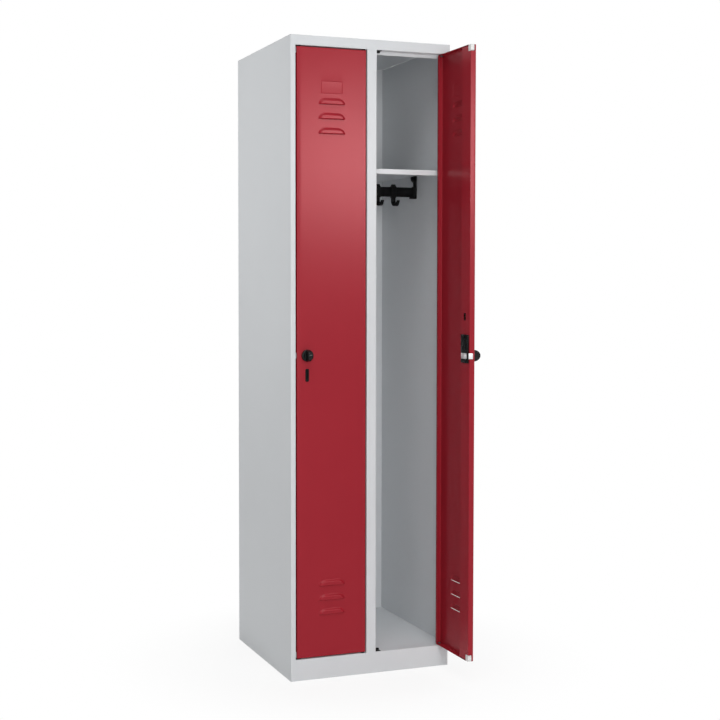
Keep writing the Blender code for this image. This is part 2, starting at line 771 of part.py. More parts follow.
def knob(side, pivot, door):
    """Turn knob: a round base disc and a tall half-oval wing to grip."""
    name = f"{side}_knob"
    socket = SPINDLE_RADIUS + SEAM
    rim = KNOB_RADIUS - KNOB_CHAMFER
    profile = [
        (0, KNOB_DISC),
        (rim, KNOB_DISC),
        (KNOB_RADIUS, KNOB_DISC - KNOB_CHAMFER),
        (KNOB_RADIUS, SEAM),
        (socket, SEAM),
        (socket, SEAM + KNOB_SOCKET),
        (0, SEAM + KNOB_SOCKET),
    ]
    axis = (door_x(KNOB_FROM_EDGE), door_y(0), KNOB_Z)
    grip = turned(name, profile, ROUND_STEPS, pivot, BLACK_PLASTIC, axis, (math.pi / 2, 0, 0))
    low = (KNOB_SOCKET + KNOB_DISC) / 2
    side_view = arc((low, 0), (KNOB_PROUD - low, KNOB_RADIUS - SEAM), -90, 90, ROUND_STEPS // 2)
    wing = outline_mesh("wing", [side_view], KNOB_WING)
    stand = Matrix.Rotation(math.pi / 2, 4, "Z") @ Matrix.Rotation(math.pi / 2, 4, "X")
    wing.transform(stand @ Matrix.Scale(-1, 4, (1, 0, 0)))
    wing.flip_normals()
    round_rim(wing, KNOB_EDGE)
    boolean(grip, add(f"{name}_wing", wing, pivot, spot=axis), "UNION")
    hole = cylinder_mesh("hole", SPINDLE_RADIUS + SEAM, door_y(-REACH), door_y(REACH), axis="Y")
    boolean(door, add(f"{name}_hole", hole, pivot, spot=(axis[0], 0, axis[2])))
    return grip


def spindle(side, pivot):
    """Spindle from the knob's socket to a crank disc, whose pin stands in the bolt's fork."""
    name = f"{side}_spindle"
    disc = CRANK_RADIUS + CRANK_PIN
    tail_front = BOLT_BACK - BOLT_TAIL
    face = tail_front - SLIDE_CLEAR
    tip = KNOB_SOCKET
    profile = [
        (0, tip),
        (SPINDLE_RADIUS, tip),
        (SPINDLE_RADIUS, CRANK_DISC - face),
        (disc, CRANK_DISC - face),
        (disc, -face),
        (0, -face),
    ]
    axis = (door_x(KNOB_FROM_EDGE), door_y(0), KNOB_Z)
    shaft = turned(name, profile, SMALL_STEPS, pivot, ZINC, axis, (math.pi / 2, 0, 0))
    pin = cylinder_mesh("crank_pin", CRANK_PIN, door_y(face - CRANK_DISC / 2), door_y(DOOR_THICK), axis="Y")
    rise = CRANK_RADIUS * math.cos(CRANK_HALF)
    spot = (axis[0] + CRANK_SWING, 0, KNOB_Z + rise)
    boolean(shaft, add(f"{name}_crank_pin", pin, pivot, spot=spot), "UNION")
    return shaft


def slot_insert(side, pivot, door):
    """Plastic insert with a blind groove, set through the door sheet below the knob."""
    name = f"{side}_slot_insert"
    x = door_x(KNOB_FROM_EDGE)
    half_w, half_h = SLOT_WIDTH / 2, SLOT_HEIGHT / 2
    face = add(
        name,
        box_mesh(
            name,
            (x - half_w, door_y(-SLOT_PROUD - SEAM), SLOT_Z - half_h),
            (x + half_w, door_y(-SEAM), SLOT_Z + half_h),
        ),
        pivot,
        BLACK_PLASTIC,
    )
    neck_w, neck_h = half_w - SLOT_RIM, half_h - SLOT_RIM
    neck = box_mesh(
        "neck",
        (x - neck_w, door_y(-SLOT_PROUD / 2 - SEAM), SLOT_Z - neck_h),
        (x + neck_w, door_y(SLOT_BODY), SLOT_Z + neck_h),
    )
    boolean(face, add(f"{name}_neck", neck, pivot), "UNION")
    mouth_h = neck_h - SLOT_RIM
    cut_box(
        face,
        "mouth",
        (x - SLOT_MOUTH / 2, door_y(-REACH), SLOT_Z - mouth_h),
        (x + SLOT_MOUTH / 2, door_y(SLOT_GROOVE), SLOT_Z + mouth_h),
    )
    cut_box(
        door,
        "slot",
        (x - neck_w - SEAM, door_y(-REACH), SLOT_Z - neck_h - SEAM),
        (x + neck_w + SEAM, door_y(REACH), SLOT_Z + neck_h + SEAM),
    )


def build_door(side, angle):
    x, y = pivot_of(side)
    pivot = bpy.data.objects.new(f"{side}_door_pivot", None)
    pivot.location = (x, y, 0)
    pivot.rotation_euler = (0, 0, math.radians(angle))
    LOCKER.objects.link(pivot)
    door = door_panel(side, pivot)
    channel = stiffener(side, pivot)
    for level in ("upper", "lower"):
        corner_plug(side, level, pivot, door, channel)
        hinge_pin(side, level, pivot, door)
    knob(side, pivot, door)
    spindle(side, pivot)
    lock_case(side, pivot, channel)
    latch_bolt(side, pivot, door)
    slot_insert(side, pivot, door)


# Inside each compartment


def compartment(side):
    """The clear span in X between the partition and a side sheet."""
    near, far = SHEET / 2 + SEAM, SIDE_INNER
    return (-far, -near) if side == "left" else (near, far)


def hat_shelf(side):
    low, high = compartment(side)
    path = [
        (INNER_REAR, SHELF_TOP - SHELF_LIP),
        (INNER_REAR, SHELF_TOP),
        (SHELF_SET, SHELF_TOP),
        (SHELF_SET, SHELF_TOP - SHELF_LIP),
        (SHELF_SET + SHELF_HEM, SHELF_TOP - SHELF_LIP),
    ]
    return folded_sheet(f"{side}_hat_shelf", path, "X", low, high)


def arm_outline(sign):
    """End arm of the coat rail in (x, z): foot, upright and the curled prong under the shelf."""
    top = SHELF_UNDER - SEAM - RAIL_Z
    foot = -RAIL_HEIGHT / 2 - RAIL_FOOT_DROP
    curl = top - PRONG_BELOW_SHELF
    inner = PRONG_RADIUS - PRONG_THICK
    points = [
        (0, foot),
        (RAIL_FOOT, foot),
        (RAIL_FOOT, foot + 2 * RAIL_FOOT_DROP),
        (RAIL_ARM, foot + 2 * RAIL_FOOT_DROP),
        *arc((RAIL_ARM, curl), (PRONG_RADIUS, PRONG_RADIUS), -90, 0),
        *arc((RAIL_ARM, curl), (inner, inner), 0, -90),
        (RAIL_ARM, top),
        (0, top),
    ]
    return [(sign * u, v) for u, v in points]


def coat_rail(side, shelf):
    """Plastic coat rail: a flat bar between two arms that are screwed up into the shelf."""
    low, high = compartment(side)
    name = f"{side}_coat_rail"
    half_t, half_h = RAIL_THICK / 2, RAIL_HEIGHT / 2
    bar = box_mesh(
        name,
        (low + RAIL_ARM / 2, -half_t, -half_h),
        (high - RAIL_ARM / 2, half_t, half_h),
    )
    rail = add(name, bar, None, BLACK_PLASTIC, (0, RAIL_Y, RAIL_Z))
    upright = Matrix.Rotation(math.pi / 2, 4, "X")
    for label, wall, sign in (("first", low, 1), ("second", high, -1)):
        arm = outline_mesh("arm", [arm_outline(sign)], RAIL_ARM_DEPTH)
        arm.transform(upright)
        boolean(rail, add(f"{name}_{label}_arm", arm, spot=(wall, RAIL_Y, RAIL_Z)), "UNION")
        x = wall + sign * RAIL_ARM / 2
        coat_rail_screw(f"{side}_{label}_rail_screw", x, rail, shelf)


def coat_rail_screw(name, x, rail, shelf):
    """Pan-head screw through the shelf into a coat rail arm."""
    under = SHELF_TOP + SEAM
    tip = under - SCREW_LENGTH
    profile = [
        (0, under + SCREW_HEAD),
        (SCREW_HEAD_RADIUS * 0.7, under + SCREW_HEAD),
        (SCREW_HEAD_RADIUS, under + SCREW_HEAD / 2),
        (SCREW_HEAD_RADIUS, under),
        (SCREW_RADIUS, under),
        (SCREW_RADIUS, tip),
        (0, tip),
    ]
    turned(name, profile, SMALL_STEPS, None, ZINC, (x, RAIL_Y, 0))
    for host in (rail, shelf):
        cut_round(host, name, SCREW_RADIUS + SEAM, x, RAIL_Y, tip - SEAM, under + REACH)


def hook_outline():
    """Coat hook in (y, z) about the rail's middle: a loop round the bar, a nub above and a bowl with a flared tip."""
    half_t = RAIL_THICK / 2 + HOOK_CLEAR
    half_h = RAIL_HEIGHT / 2 + HOOK_CLEAR
    out_t, out_h = half_t + HOOK_WALL, half_h + HOOK_WALL
    nub, stem = HOOK_NUB_WIDTH / 2, HOOK_STEM / 2
    bowl_z = -out_h - HOOK_DROP + stem
    bowl_y = -stem - HOOK_THROAT / 2
    inner = (HOOK_THROAT / 2, HOOK_BOWL)
    outer = (HOOK_THROAT / 2 + HOOK_STEM, HOOK_BOWL + HOOK_STEM)
    tip_y = bowl_y - outer[0]
    outside = [
        (out_t, out_h),
        (nub, out_h),
        (nub, out_h + HOOK_NUB),
        (-nub, out_h + HOOK_NUB),
        (-nub, out_h),
        (-out_t, out_h),
        (-out_t, -out_h),
        (-stem, -out_h),
        *arc((bowl_y, bowl_z), inner, 0, -HOOK_SWEEP),
        (tip_y + HOOK_TIP, bowl_z + HOOK_TIP / 2),
        (tip_y, bowl_z - HOOK_TIP / 2),
        *arc((bowl_y, bowl_z), outer, -HOOK_SWEEP, 0),
        (stem, -out_h),
        (out_t, -out_h),
    ]
    hole = [(half_t, half_h), (-half_t, half_h), (-half_t, -half_h), (half_t, -half_h)]
    return [outside, hole]


def coat_hooks(side):
    low, high = compartment(side)
    mid = (low + high) / 2
    stand = Matrix.Rotation(math.pi / 2, 4, "Z") @ Matrix.Rotation(math.pi / 2, 4, "X")
    for number in range(3):
        name = f"{side}_coat_hook_{number + 1}"
        mesh = outline_mesh(name, hook_outline(), HOOK_WIDTH)
        mesh.transform(stand)
        x = mid + HOOK_SHIFT + (number - 1) * HOOK_PITCH
        add(name, mesh, None, BLACK_PLASTIC, (x, RAIL_Y, RAIL_Z))


def build():
    left = side_panel("left", -1)
    side_panel("right", 1)
    roof = roof_panel()
    base = floor_panel()
    back_panel()
    post = centre_post()
    centre_partition()
    strike_slot(left, OPENINGS["left"], 1)
    strike_slot(post, OPENINGS["right"], 1)
    for side, angle in (("left", 0.0), ("right", RIGHT_DOOR_TURN)):
        build_door(side, angle)
        for level in ("upper", "lower"):
            hinge_bush(side, level, roof, base)
            frame_buffer(side, level)
        shelf = hat_shelf(side)
        coat_rail(side, shelf)
        coat_hooks(side)


build()
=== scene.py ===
"""Looks of a two-compartment sheet-steel clothes locker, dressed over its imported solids.

Every new piece is a numpy surface in metres, in the frame of the solids: X across the front,
+Y from the front to the back, +Z up. Pieces on a door are worked out in the door's own lengths,
(from the latch edge, behind the face, height), and then hung on the left or the right door.
"""

import json
import math

import bmesh
import bpy
import numpy as np
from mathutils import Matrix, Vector

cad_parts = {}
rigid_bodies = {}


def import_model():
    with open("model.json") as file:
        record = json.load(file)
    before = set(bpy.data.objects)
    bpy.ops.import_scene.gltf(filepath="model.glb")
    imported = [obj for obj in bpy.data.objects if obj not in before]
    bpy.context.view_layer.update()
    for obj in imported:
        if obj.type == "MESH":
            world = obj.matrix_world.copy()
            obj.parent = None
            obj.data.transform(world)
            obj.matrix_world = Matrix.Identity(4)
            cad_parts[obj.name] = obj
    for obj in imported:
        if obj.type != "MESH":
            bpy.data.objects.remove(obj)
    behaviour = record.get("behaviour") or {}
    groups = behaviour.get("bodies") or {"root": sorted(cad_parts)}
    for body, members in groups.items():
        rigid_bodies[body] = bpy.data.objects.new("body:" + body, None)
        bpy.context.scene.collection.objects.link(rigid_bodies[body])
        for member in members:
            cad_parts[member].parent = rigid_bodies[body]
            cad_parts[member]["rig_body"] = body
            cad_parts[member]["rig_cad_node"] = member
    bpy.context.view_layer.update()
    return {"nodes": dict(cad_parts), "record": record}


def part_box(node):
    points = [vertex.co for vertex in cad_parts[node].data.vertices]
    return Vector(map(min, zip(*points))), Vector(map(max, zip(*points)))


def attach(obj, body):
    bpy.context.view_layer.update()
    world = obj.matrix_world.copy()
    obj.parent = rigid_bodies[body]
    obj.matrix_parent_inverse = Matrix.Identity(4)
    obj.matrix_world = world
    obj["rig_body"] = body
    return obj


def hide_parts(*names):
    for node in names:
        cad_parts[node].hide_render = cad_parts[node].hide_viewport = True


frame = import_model()
NODES = frame["nodes"]
SIDES = ("left", "right")
LEVELS = ("upper", "lower")

# Door sheet
SHEET = 0.0008
SEAM = 0.0003
DOOR_WIDTH = 0.215
DOOR_THICK = 0.017
DOOR_LOW = 0.0645
DOOR_HIGH = 1.8185
DOOR_BEND = 0.002
LIP_BEND = 0.0015
LIP = 0.010
LIP_RELIEF = 0.004
EDGE_DRAFT = 0.0012
DOOR_MID = DOOR_WIDTH / 2
DOOR_EDGE_X = 0.2325
OPEN_EDGE_Y = -0.201

# Cut-outs of the door sheet, as half sizes or as (near, far)
NOTCH_DEEP = 0.0056
NOTCH_WIDE = 0.0173
NOTCH_TALL = 0.0193
BOLT_CUT = 0.00845
SPINDLE_CUT = 0.0043
INSERT_CUT = 0.0173
PIN_CUT_ALONG = (0.2047, 0.2113)
PIN_CUT_BEHIND = (0.0037, 0.0103)

# Pressed louvres and label field
LOUVRE_HALF = 0.0415
LOUVRE_RISE = 0.0185
LOUVRE_PROUD = 0.0052
LOUVRE_SLOPE = 0.0075
LOUVRE_CURL = 0.0028
LOUVRE_LIP = 0.36
LOUVRE_SHOULDER = 0.024
LOUVRE_MOUTHS = np.array([0.187, 0.229, 0.271, 1.573, 1.615, 1.657])
LABEL_Z = 1.7055
LABEL_HALF = (0.033, 0.018)
LABEL_RIB = 0.0018
LABEL_PROUD = 0.0005

# Extra lines of the door's grid, across the label's rib and just outside each louvre
RIB_LINES = np.linspace(-0.0012, 0.0012, 7)
GUARD_LINES = np.array([0.0006, 0.002])

# Latch
KNOB_FROM_EDGE = 0.032
KNOB_Z = 0.940
KNOB_RADIUS = 0.0175
KNOB_PROUD = 0.032
INSERT_Z = 0.8835
SIGHT_SLOT_Z = 1.0515
PLUG_WIDE = 0.017
PLUG_TALL = 0.019

# Coat rail and hooks
RAIL_Y = 0.235
RAIL_Z = 1.430
SHELF_TOP = 1.482
RAIL_TOP = SHELF_TOP - SHEET - SEAM

# How a stack of rounded rectangles (width, height, level) lies in the frame, as (column, sign)
FACING_FRONT = ((0, 1), (2, -1), (1, 1))
FACING_BACK = ((0, 1), (2, 1), (1, 1))
FACING_UP = ((0, 1), (1, 1), (2, 1))


# Meshes from grids of points


def quads_of(rows, columns, wrap):
    """Corner numbers of every cell of a grid, counter-clockwise; wrap joins last column and first."""
    row = np.arange(rows - 1)[:, None]
    column = np.arange(columns if wrap else columns - 1)[None, :]
    after = (column + 1) % columns
    here = row * columns
    above = (row + 1) * columns
    return np.stack([here + column, here + after, above + after, above + column], -1)


def piece(name, grids, finish, closed=True, sharp=38.0):
    """One mesh object from grids (points, wrap, kept cells): points that no cell uses are left out, and
    coincident points are welded."""
    points = []
    faces = []
    count = 0
    for grid, wrap, kept in grids:
        rows, columns = grid.shape[:2]
        cells = quads_of(rows, columns, wrap)
        cells = cells.reshape(-1, 4) if kept is None else cells[kept]
        points.append(grid.reshape(-1, 3))
        faces.append(cells + count)
        count += rows * columns
    used, faces = np.unique(np.concatenate(faces), return_inverse=True)
    points = np.concatenate(points)[used]
    mesh = bpy.data.meshes.new(name)
    mesh.from_pydata(points.tolist(), [], faces.reshape(-1, 4).tolist())
    bm = bmesh.new()
    bm.from_mesh(mesh)
    bmesh.ops.remove_doubles(bm, verts=bm.verts[:], dist=2e-6)
    bmesh.ops.dissolve_degenerate(bm, edges=bm.edges[:], dist=1e-7)
    if closed:
        bmesh.ops.recalc_face_normals(bm, faces=bm.faces[:])
    bm.to_mesh(mesh)
    bm.free()
    mesh.shade_smooth()
    mesh.set_sharp_from_angle(angle=math.radians(sharp))
    mesh.materials.append(finish)
    made = bpy.data.objects.new(name, mesh)
    bpy.context.scene.collection.objects.link(made)
    return made


def settle(made, sharp):
    """Makes a piece's modifiers part of its mesh, then marks its hard edges."""
    bpy.context.view_layer.update()
    solid = made.evaluated_get(bpy.context.evaluated_depsgraph_get())
    mesh = bpy.data.meshes.new_from_object(solid)
    made.modifiers.clear()
    made.data = mesh
    mesh.name = made.name
    mesh.shade_smooth()
    mesh.set_sharp_from_angle(angle=math.radians(sharp))


def wear(made, body, slot, *nodes):
    """Lets a piece ride on its body and stand for its solids, which are hidden. Its slot is not used."""
    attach(made, body)
    if nodes:
        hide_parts(*nodes)
    return made


def hang(grid, side):
    """Turns (from latch edge, behind face, height) into the frame: the left door is shut, with its latch
    edge on the left, and the right door stands open at a right angle, with its latch edge in front."""
    along, behind, high = grid[..., 0], grid[..., 1], grid[..., 2]
    if side == "left":
        return np.stack([along - DOOR_EDGE_X, behind, high], -1)
    return np.stack([DOOR_EDGE_X - behind, along + OPEN_EDGE_Y, high], -1)


def rounded_ring(half_w, half_h, radius, steps=5):
    """Rounded rectangles, one to a row: corner centres at (half - radius), a quarter circle on each."""
    sizes = (half_w, half_h, radius)
    half_w, half_h, radius = (np.atleast_1d(np.asarray(size, float))[:, None, None] for size in sizes)
    radius = np.minimum(radius, np.minimum(half_w, half_h))
    turn = np.linspace(0, math.pi / 2, steps + 1)[None, None, :]
    start = (np.arange(4) * math.pi / 2)[None, :, None]
    sign_w = np.array([1, -1, -1, 1])[None, :, None]
    sign_h = np.array([1, 1, -1, -1])[None, :, None]
    w = sign_w * (half_w - radius) + radius * np.cos(start + turn)
    h = sign_h * (half_h - radius) + radius * np.sin(start + turn)
    return np.stack([w, h], -1).reshape(half_w.shape[0], -1, 2)


def ring_stack(rows, steps=5):
    """Rounded rectangles (half width, half height, corner, level) joined row to row; both ends are drawn
    in to a line."""
    rows = np.asarray(rows, float)
    ends = rows[[0, -1]].copy()
    least = ends[:, :2].min(1)
    ends[:, 0] -= least
    ends[:, 1] -= least
    ends[:, 2] = 0
    rows = np.concatenate([ends[:1], rows, ends[1:]])
    flat = rounded_ring(rows[:, 0], rows[:, 1], rows[:, 2], steps)
    level = np.broadcast_to(rows[:, 3][:, None, None], flat.shape[:2] + (1,))
    return np.concatenate([flat, level], -1)


def pillow_rows(half_w, half_h, corner, low, high, edge, steps=4):
    """Rows of a block with two rounded rims: inset edge(1 - sin t), level edge(1 - cos t), t a quarter."""
    t = np.linspace(0, math.pi / 2, steps + 1)
    inset = np.concatenate([edge * (1 - np.sin(t)), edge * (1 - np.cos(t))])
    level = np.concatenate([low + edge * (1 - np.cos(t)), high - edge * (1 - np.sin(t))])
    return np.stack([half_w - inset, half_h - inset, np.maximum(corner - inset, 0.0001), level], -1)


def lathe(profile, steps=32):
    """A profile (radius, level) turned once round its axis."""
    profile = np.asarray(profile, float)
    turn = np.linspace(0, 2 * math.pi, steps, endpoint=False)
    flat = profile[:, :1, None] * np.stack([np.cos(turn), np.sin(turn)], -1)[None]
    level = np.broadcast_to(profile[:, 1][:, None, None], flat.shape[:2] + (1,))
    return np.concatenate([flat, level], -1)


def carried(path, across, other, section, scale):
    """A closed section (a, b) carried along a path: at every station, the path's point plus a times its
    scale across, plus b times its scale the other way."""
    a = section[None, :, 0, None] * scale[:, None, :1]
    b = section[None, :, 1, None] * scale[:, None, 1:]
    return path[:, None, :] + across[:, None, :] * a + other[:, None, :] * b


def placed(grid, axes, spot):
    """Reorders a grid's (w, h, level) into frame axes, each a (column, sign), and moves it to a spot."""
    columns = [sign * grid[..., column] for column, sign in axes]
    return np.stack(columns, -1) + np.asarray(spot, float)


def quarter(steps=5):
    """Sine and one minus cosine over a quarter turn, for rounded bends."""
    t = np.linspace(0, math.pi / 2, steps + 1)
    return np.sin(t), 1 - np.cos(t)


# Finishes


def group(name, values, outputs):
    """An empty node group: a Vector and named values go in, named values come out."""
    tree = bpy.data.node_groups.new(name, "ShaderNodeTree")
    tree.interface.new_socket("Vector", in_out="INPUT", socket_type="NodeSocketVector")
    for label, value in values.items():
        socket = tree.interface.new_socket(label, in_out="INPUT", socket_type="NodeSocketFloat")
        socket.default_value = value
    for label in outputs:
        tree.interface.new_socket(label, in_out="OUTPUT", socket_type="NodeSocketFloat")
    return tree, tree.nodes.new("NodeGroupInput"), tree.nodes.new("NodeGroupOutput")


def node(tree, kind, **settings):
    """A new node with its settings."""
    made = tree.nodes.new(kind)
    for label, value in settings.items():
        setattr(made, label, value)
    return made


def feed(tree, slot, value):
    """Sets a socket to a number or a colour, or links another socket to it."""
    if isinstance(value, tuple):
        slot.default_value = (*value, 1.0)
    elif isinstance(value, (int, float)):
        slot.default_value = value
    else:
        tree.links.new(value, slot)


def math_node(tree, operation, *values):
    """A Math node fed by sockets or numbers; gives its output."""
    made = node(tree, "ShaderNodeMath", operation=operation)
    for slot, value in zip(made.inputs, values):
        feed(tree, slot, value)
    return made.outputs[0]


def noise(tree, vector, scale, detail, rough, twist=0.0):
    """A noise pattern on a vector; its scale is a number or a socket."""
    made = node(tree, "ShaderNodeTexNoise")
    made.inputs["Detail"].default_value = detail
    made.inputs["Roughness"].default_value = rough
    made.inputs["Distortion"].default_value = twist
    feed(tree, made.inputs["Scale"], scale)
    tree.links.new(vector, made.inputs["Vector"])
    return made.outputs["Fac"]


def ramp(tree, value, low, high, out_low=0.0, out_high=1.0):
    """A clamped smooth step from low to high."""
    made = node(tree, "ShaderNodeMapRange", interpolation_type="SMOOTHSTEP")
    for slot, number in zip(made.inputs[1:5], (low, high, out_low, out_high)):
        slot.default_value = number
    tree.links.new(value, made.inputs["Value"])
    return made.outputs["Result"]


def coat_grain_group():
    """Powder coat: fine orange peel as a height, slow drift of shade, and a patchy gloss."""
    tree, way_in, way_out = group("coat_grain", {"Peel Scale": 620.0}, ("Height", "Shade", "Gloss"))
    vector = way_in.outputs["Vector"]
    peel = noise(tree, vector, way_in.outputs["Peel Scale"], 1.5, 0.45)
    broad = noise(tree, vector, 42.0, 2.0, 0.5)
    height = math_node(tree, "ADD", peel, math_node(tree, "MULTIPLY", broad, 0.08))
    tree.links.new(height, way_out.inputs["Height"])
    tree.links.new(noise(tree, vector, 3.1, 3.0, 0.55), way_out.inputs["Shade"])
    tree.links.new(noise(tree, vector, 11.0, 4.0, 0.6), way_out.inputs["Gloss"])
    return tree


def handling_group():
    """Rubbed places: broken streaks low down and along the upright front edges, and dust low down."""
    tree, way_in, way_out = group("handling", {"Amount": 0.5}, ("Rub", "Dust"))
    vector = way_in.outputs["Vector"]
    split = node(tree, "ShaderNodeSeparateXYZ")
    tree.links.new(vector, split.inputs[0])
    low = ramp(tree, split.outputs["Z"], 0.0, 0.075, 1.0, 0.0)
    wide = math_node(tree, "ABSOLUTE", split.outputs["X"])
    corner = ramp(tree, wide, 0.2455, 0.2496)
    front = ramp(tree, split.outputs["Y"], 0.0012, 0.006, 1.0, 0.0)
    edge = math_node(tree, "MULTIPLY", corner, front)
    streak = ramp(tree, noise(tree, vector, 55.0, 5.0, 0.65), 0.56, 0.74)
    place = math_node(tree, "MAXIMUM", edge, math_node(tree, "MULTIPLY", low, 0.55))
    rub = math_node(tree, "MULTIPLY", math_node(tree, "MULTIPLY", place, streak), way_in.outputs["Amount"])
    dust = math_node(tree, "MULTIPLY", low, noise(tree, vector, 18.0, 4.0, 0.6))
    tree.links.new(rub, way_out.inputs["Rub"])
    tree.links.new(dust, way_out.inputs["Dust"])
    return tree


def moulding_group():
    """Moulded plastic: spark-eroded stipple as a height, with faint flow marks in shade and gloss."""
    tree, way_in, way_out = group("moulding", {"Stipple": 1500.0}, ("Height", "Flow"))
    vector = way_in.outputs["Vector"]
    tree.links.new(noise(tree, vector, way_in.outputs["Stipple"], 2.0, 0.6), way_out.inputs["Height"])
    tree.links.new(noise(tree, vector, 60.0, 3.0, 0.5, twist=1.4), way_out.inputs["Flow"])
    return tree


def plating_group():
    """Plated metal: hair lines drawn along X and Y, as a height and a streak, and patches of bloom."""
    tree, way_in, way_out = group("plating", {}, ("Height", "Streak", "Bloom"))
    vector = way_in.outputs["Vector"]
    squeeze = node(tree, "ShaderNodeMapping")
    squeeze.inputs["Scale"].default_value = (60.0, 60.0, 2400.0)
    tree.links.new(vector, squeeze.inputs["Vector"])
    tree.links.new(noise(tree, squeeze.outputs[0], 1.0, 3.0, 0.6), way_out.inputs["Height"])
    tree.links.new(noise(tree, squeeze.outputs[0], 0.4, 2.0, 0.5), way_out.inputs["Streak"])
    tree.links.new(noise(tree, vector, 140.0, 4.0, 0.6), way_out.inputs["Bloom"])
    return tree


COAT_GRAIN = coat_grain_group()
HANDLING = handling_group()
MOULDING = moulding_group()
PLATING = plating_group()


def finish(name):
    """A new material with its shader and the Object coordinates that its patterns read."""
    made = bpy.data.materials.new(name)
    made.use_nodes = True
    tree = made.node_tree
    shader = tree.nodes["Principled BSDF"]
    return made, tree, shader, node(tree, "ShaderNodeTexCoord").outputs["Object"]


def use(tree, effect, vector, **values):
    """Places a shared effect in a material with its own values; gives its outputs."""
    made = node(tree, "ShaderNodeGroup", node_tree=effect)
    tree.links.new(vector, made.inputs["Vector"])
    for label, value in values.items():
        made.inputs[label.replace("_", " ")].default_value = value
    return made.outputs


def blend(tree, factor, first, second):
    """A colour between two: each is a colour or a socket."""
    made = node(tree, "ShaderNodeMix", data_type="RGBA")
    tree.links.new(factor, made.inputs["Factor"])
    feed(tree, made.inputs[6], first)
    feed(tree, made.inputs[7], second)
    return made.outputs[2]


def bump(tree, shader, height, strength, distance):
    """Feeds a height to the shader's normal."""
    made = node(tree, "ShaderNodeBump")
    made.inputs["Strength"].default_value = strength
    made.inputs["Distance"].default_value = distance
    tree.links.new(height, made.inputs["Height"])
    tree.links.new(made.outputs["Normal"], shader.inputs["Normal"])


def powder_coat(name, shade, deep, rubbed, dusty, gloss, amount, level, metal):
    """Satin powder coat: drifting shade, patchy gloss, orange peel, rubbed edges and dust low down."""
    made, tree, shader, vector = finish(name)
    grain = use(tree, COAT_GRAIN, vector)
    worn = use(tree, HANDLING, vector, Amount=amount)
    drift = ramp(tree, grain["Shade"], 0.3, 0.7)
    colour = blend(tree, drift, deep, shade)
    colour = blend(tree, math_node(tree, "MULTIPLY", worn["Dust"], 0.16), colour, dusty)
    colour = blend(tree, worn["Rub"], colour, rubbed)
    tree.links.new(colour, shader.inputs["Base Color"])
    patch = ramp(tree, grain["Gloss"], 0.2, 0.8, gloss - 0.006, gloss + 0.008)
    rough = math_node(tree, "ADD", patch, math_node(tree, "MULTIPLY", worn["Dust"], 0.18))
    tree.links.new(rough, shader.inputs["Roughness"])
    bump(tree, shader, grain["Height"], 0.10, 0.0003)
    shader.inputs["Specular IOR Level"].default_value = level
    shader.inputs["Metallic"].default_value = metal
    return made


def moulded_plastic(name, shade, pale, gloss, stipple, depth, level):
    """Moulded plastic with stipple, flow marks and a gloss that changes over the surface."""
    made, tree, shader, vector = finish(name)
    grain = use(tree, MOULDING, vector, Stipple=stipple)
    flow = ramp(tree, grain["Flow"], 0.32, 0.72)
    tree.links.new(blend(tree, flow, shade, pale), shader.inputs["Base Color"])
    rough = ramp(tree, grain["Flow"], 0.3, 0.75, *gloss)
    tree.links.new(rough, shader.inputs["Roughness"])
    bump(tree, shader, grain["Height"], 0.22, depth)
    shader.inputs["Specular IOR Level"].default_value = level
    return made


def bare_metal(name, metal, bright, dull, gloss):
    """Plated or cast metal: hair lines, patches of bloom and a streaky gloss."""
    made, tree, shader, vector = finish(name)
    lines = use(tree, PLATING, vector)
    shader.inputs["Metallic"].default_value = metal
    bloom = ramp(tree, lines["Bloom"], 0.4, 0.75)
    tree.links.new(blend(tree, bloom, bright, dull), shader.inputs["Base Color"])
    streaks = ramp(tree, lines["Streak"], 0.3, 0.7, gloss - 0.06, gloss + 0.10)
    tree.links.new(streaks, shader.inputs["Roughness"])
    bump(tree, shader, lines["Height"], 0.10, 0.0002)
    return made


GREY_COAT = powder_coat(
    "light_grey_powder_coat",
    shade=(0.684, 0.706, 0.724),
    deep=(0.674, 0.696, 0.714),
    rubbed=(0.75, 0.76, 0.77),
    dusty=(0.55, 0.54, 0.52),
    gloss=0.28,
    amount=0.35,
    level=0.16,
    metal=0.0,
)
RED_COAT = powder_coat(
    "ruby_red_powder_coat",
    shade=(0.338, 0.0165, 0.0280),
    deep=(0.329, 0.0156, 0.0268),
    rubbed=(0.44, 0.07, 0.085),
    dusty=(0.38, 0.085, 0.095),
    gloss=0.24,
    amount=0.30,
    level=0.14,
    metal=0.04,
)
BLACK_MOULDING = moulded_plastic(
    "black_moulded_plastic",
    shade=(0.0035, 0.0042, 0.0042),
    pale=(0.0075, 0.0080, 0.0080),
    gloss=(0.20, 0.32),
    stipple=1500.0,
    depth=0.00008,
    level=0.10,
)
KNOB_MOULDING = moulded_plastic(
    "black_knob_plastic",
    shade=(0.0035, 0.0042, 0.0042),
    pale=(0.0075, 0.0080, 0.0080),
    gloss=(0.14, 0.24),
    stipple=1500.0,
    depth=0.00006,
    level=0.20,
)
RAIL_MOULDING = moulded_plastic(
    "black_rail_plastic",
    shade=(0.0035, 0.0038, 0.0040),
    pale=(0.0070, 0.0072, 0.0075),
    gloss=(0.32, 0.45),
    stipple=1100.0,
    depth=0.00012,
    level=0.10,
)
WHITE_MOULDING = moulded_plastic(
    "white_moulded_plastic",
    shade=(0.80, 0.80, 0.79),
    pale=(0.75, 0.755, 0.745),
    gloss=(0.38, 0.50),
    stipple=1300.0,
    depth=0.0001,
    level=0.35,
)
BUFFER_RUBBER = moulded_plastic(
    "buffer_rubber",
    shade=(0.0050, 0.0050, 0.0050),
    pale=(0.010, 0.0098, 0.0095),
    gloss=(0.55, 0.72),
    stipple=900.0,
    depth=0.0002,
    level=0.25,
)
ZINC = bare_metal(
    "bright_zinc_plate", metal=0.45, bright=(0.80, 0.805, 0.81), dull=(0.70, 0.71, 0.73), gloss=0.30
)
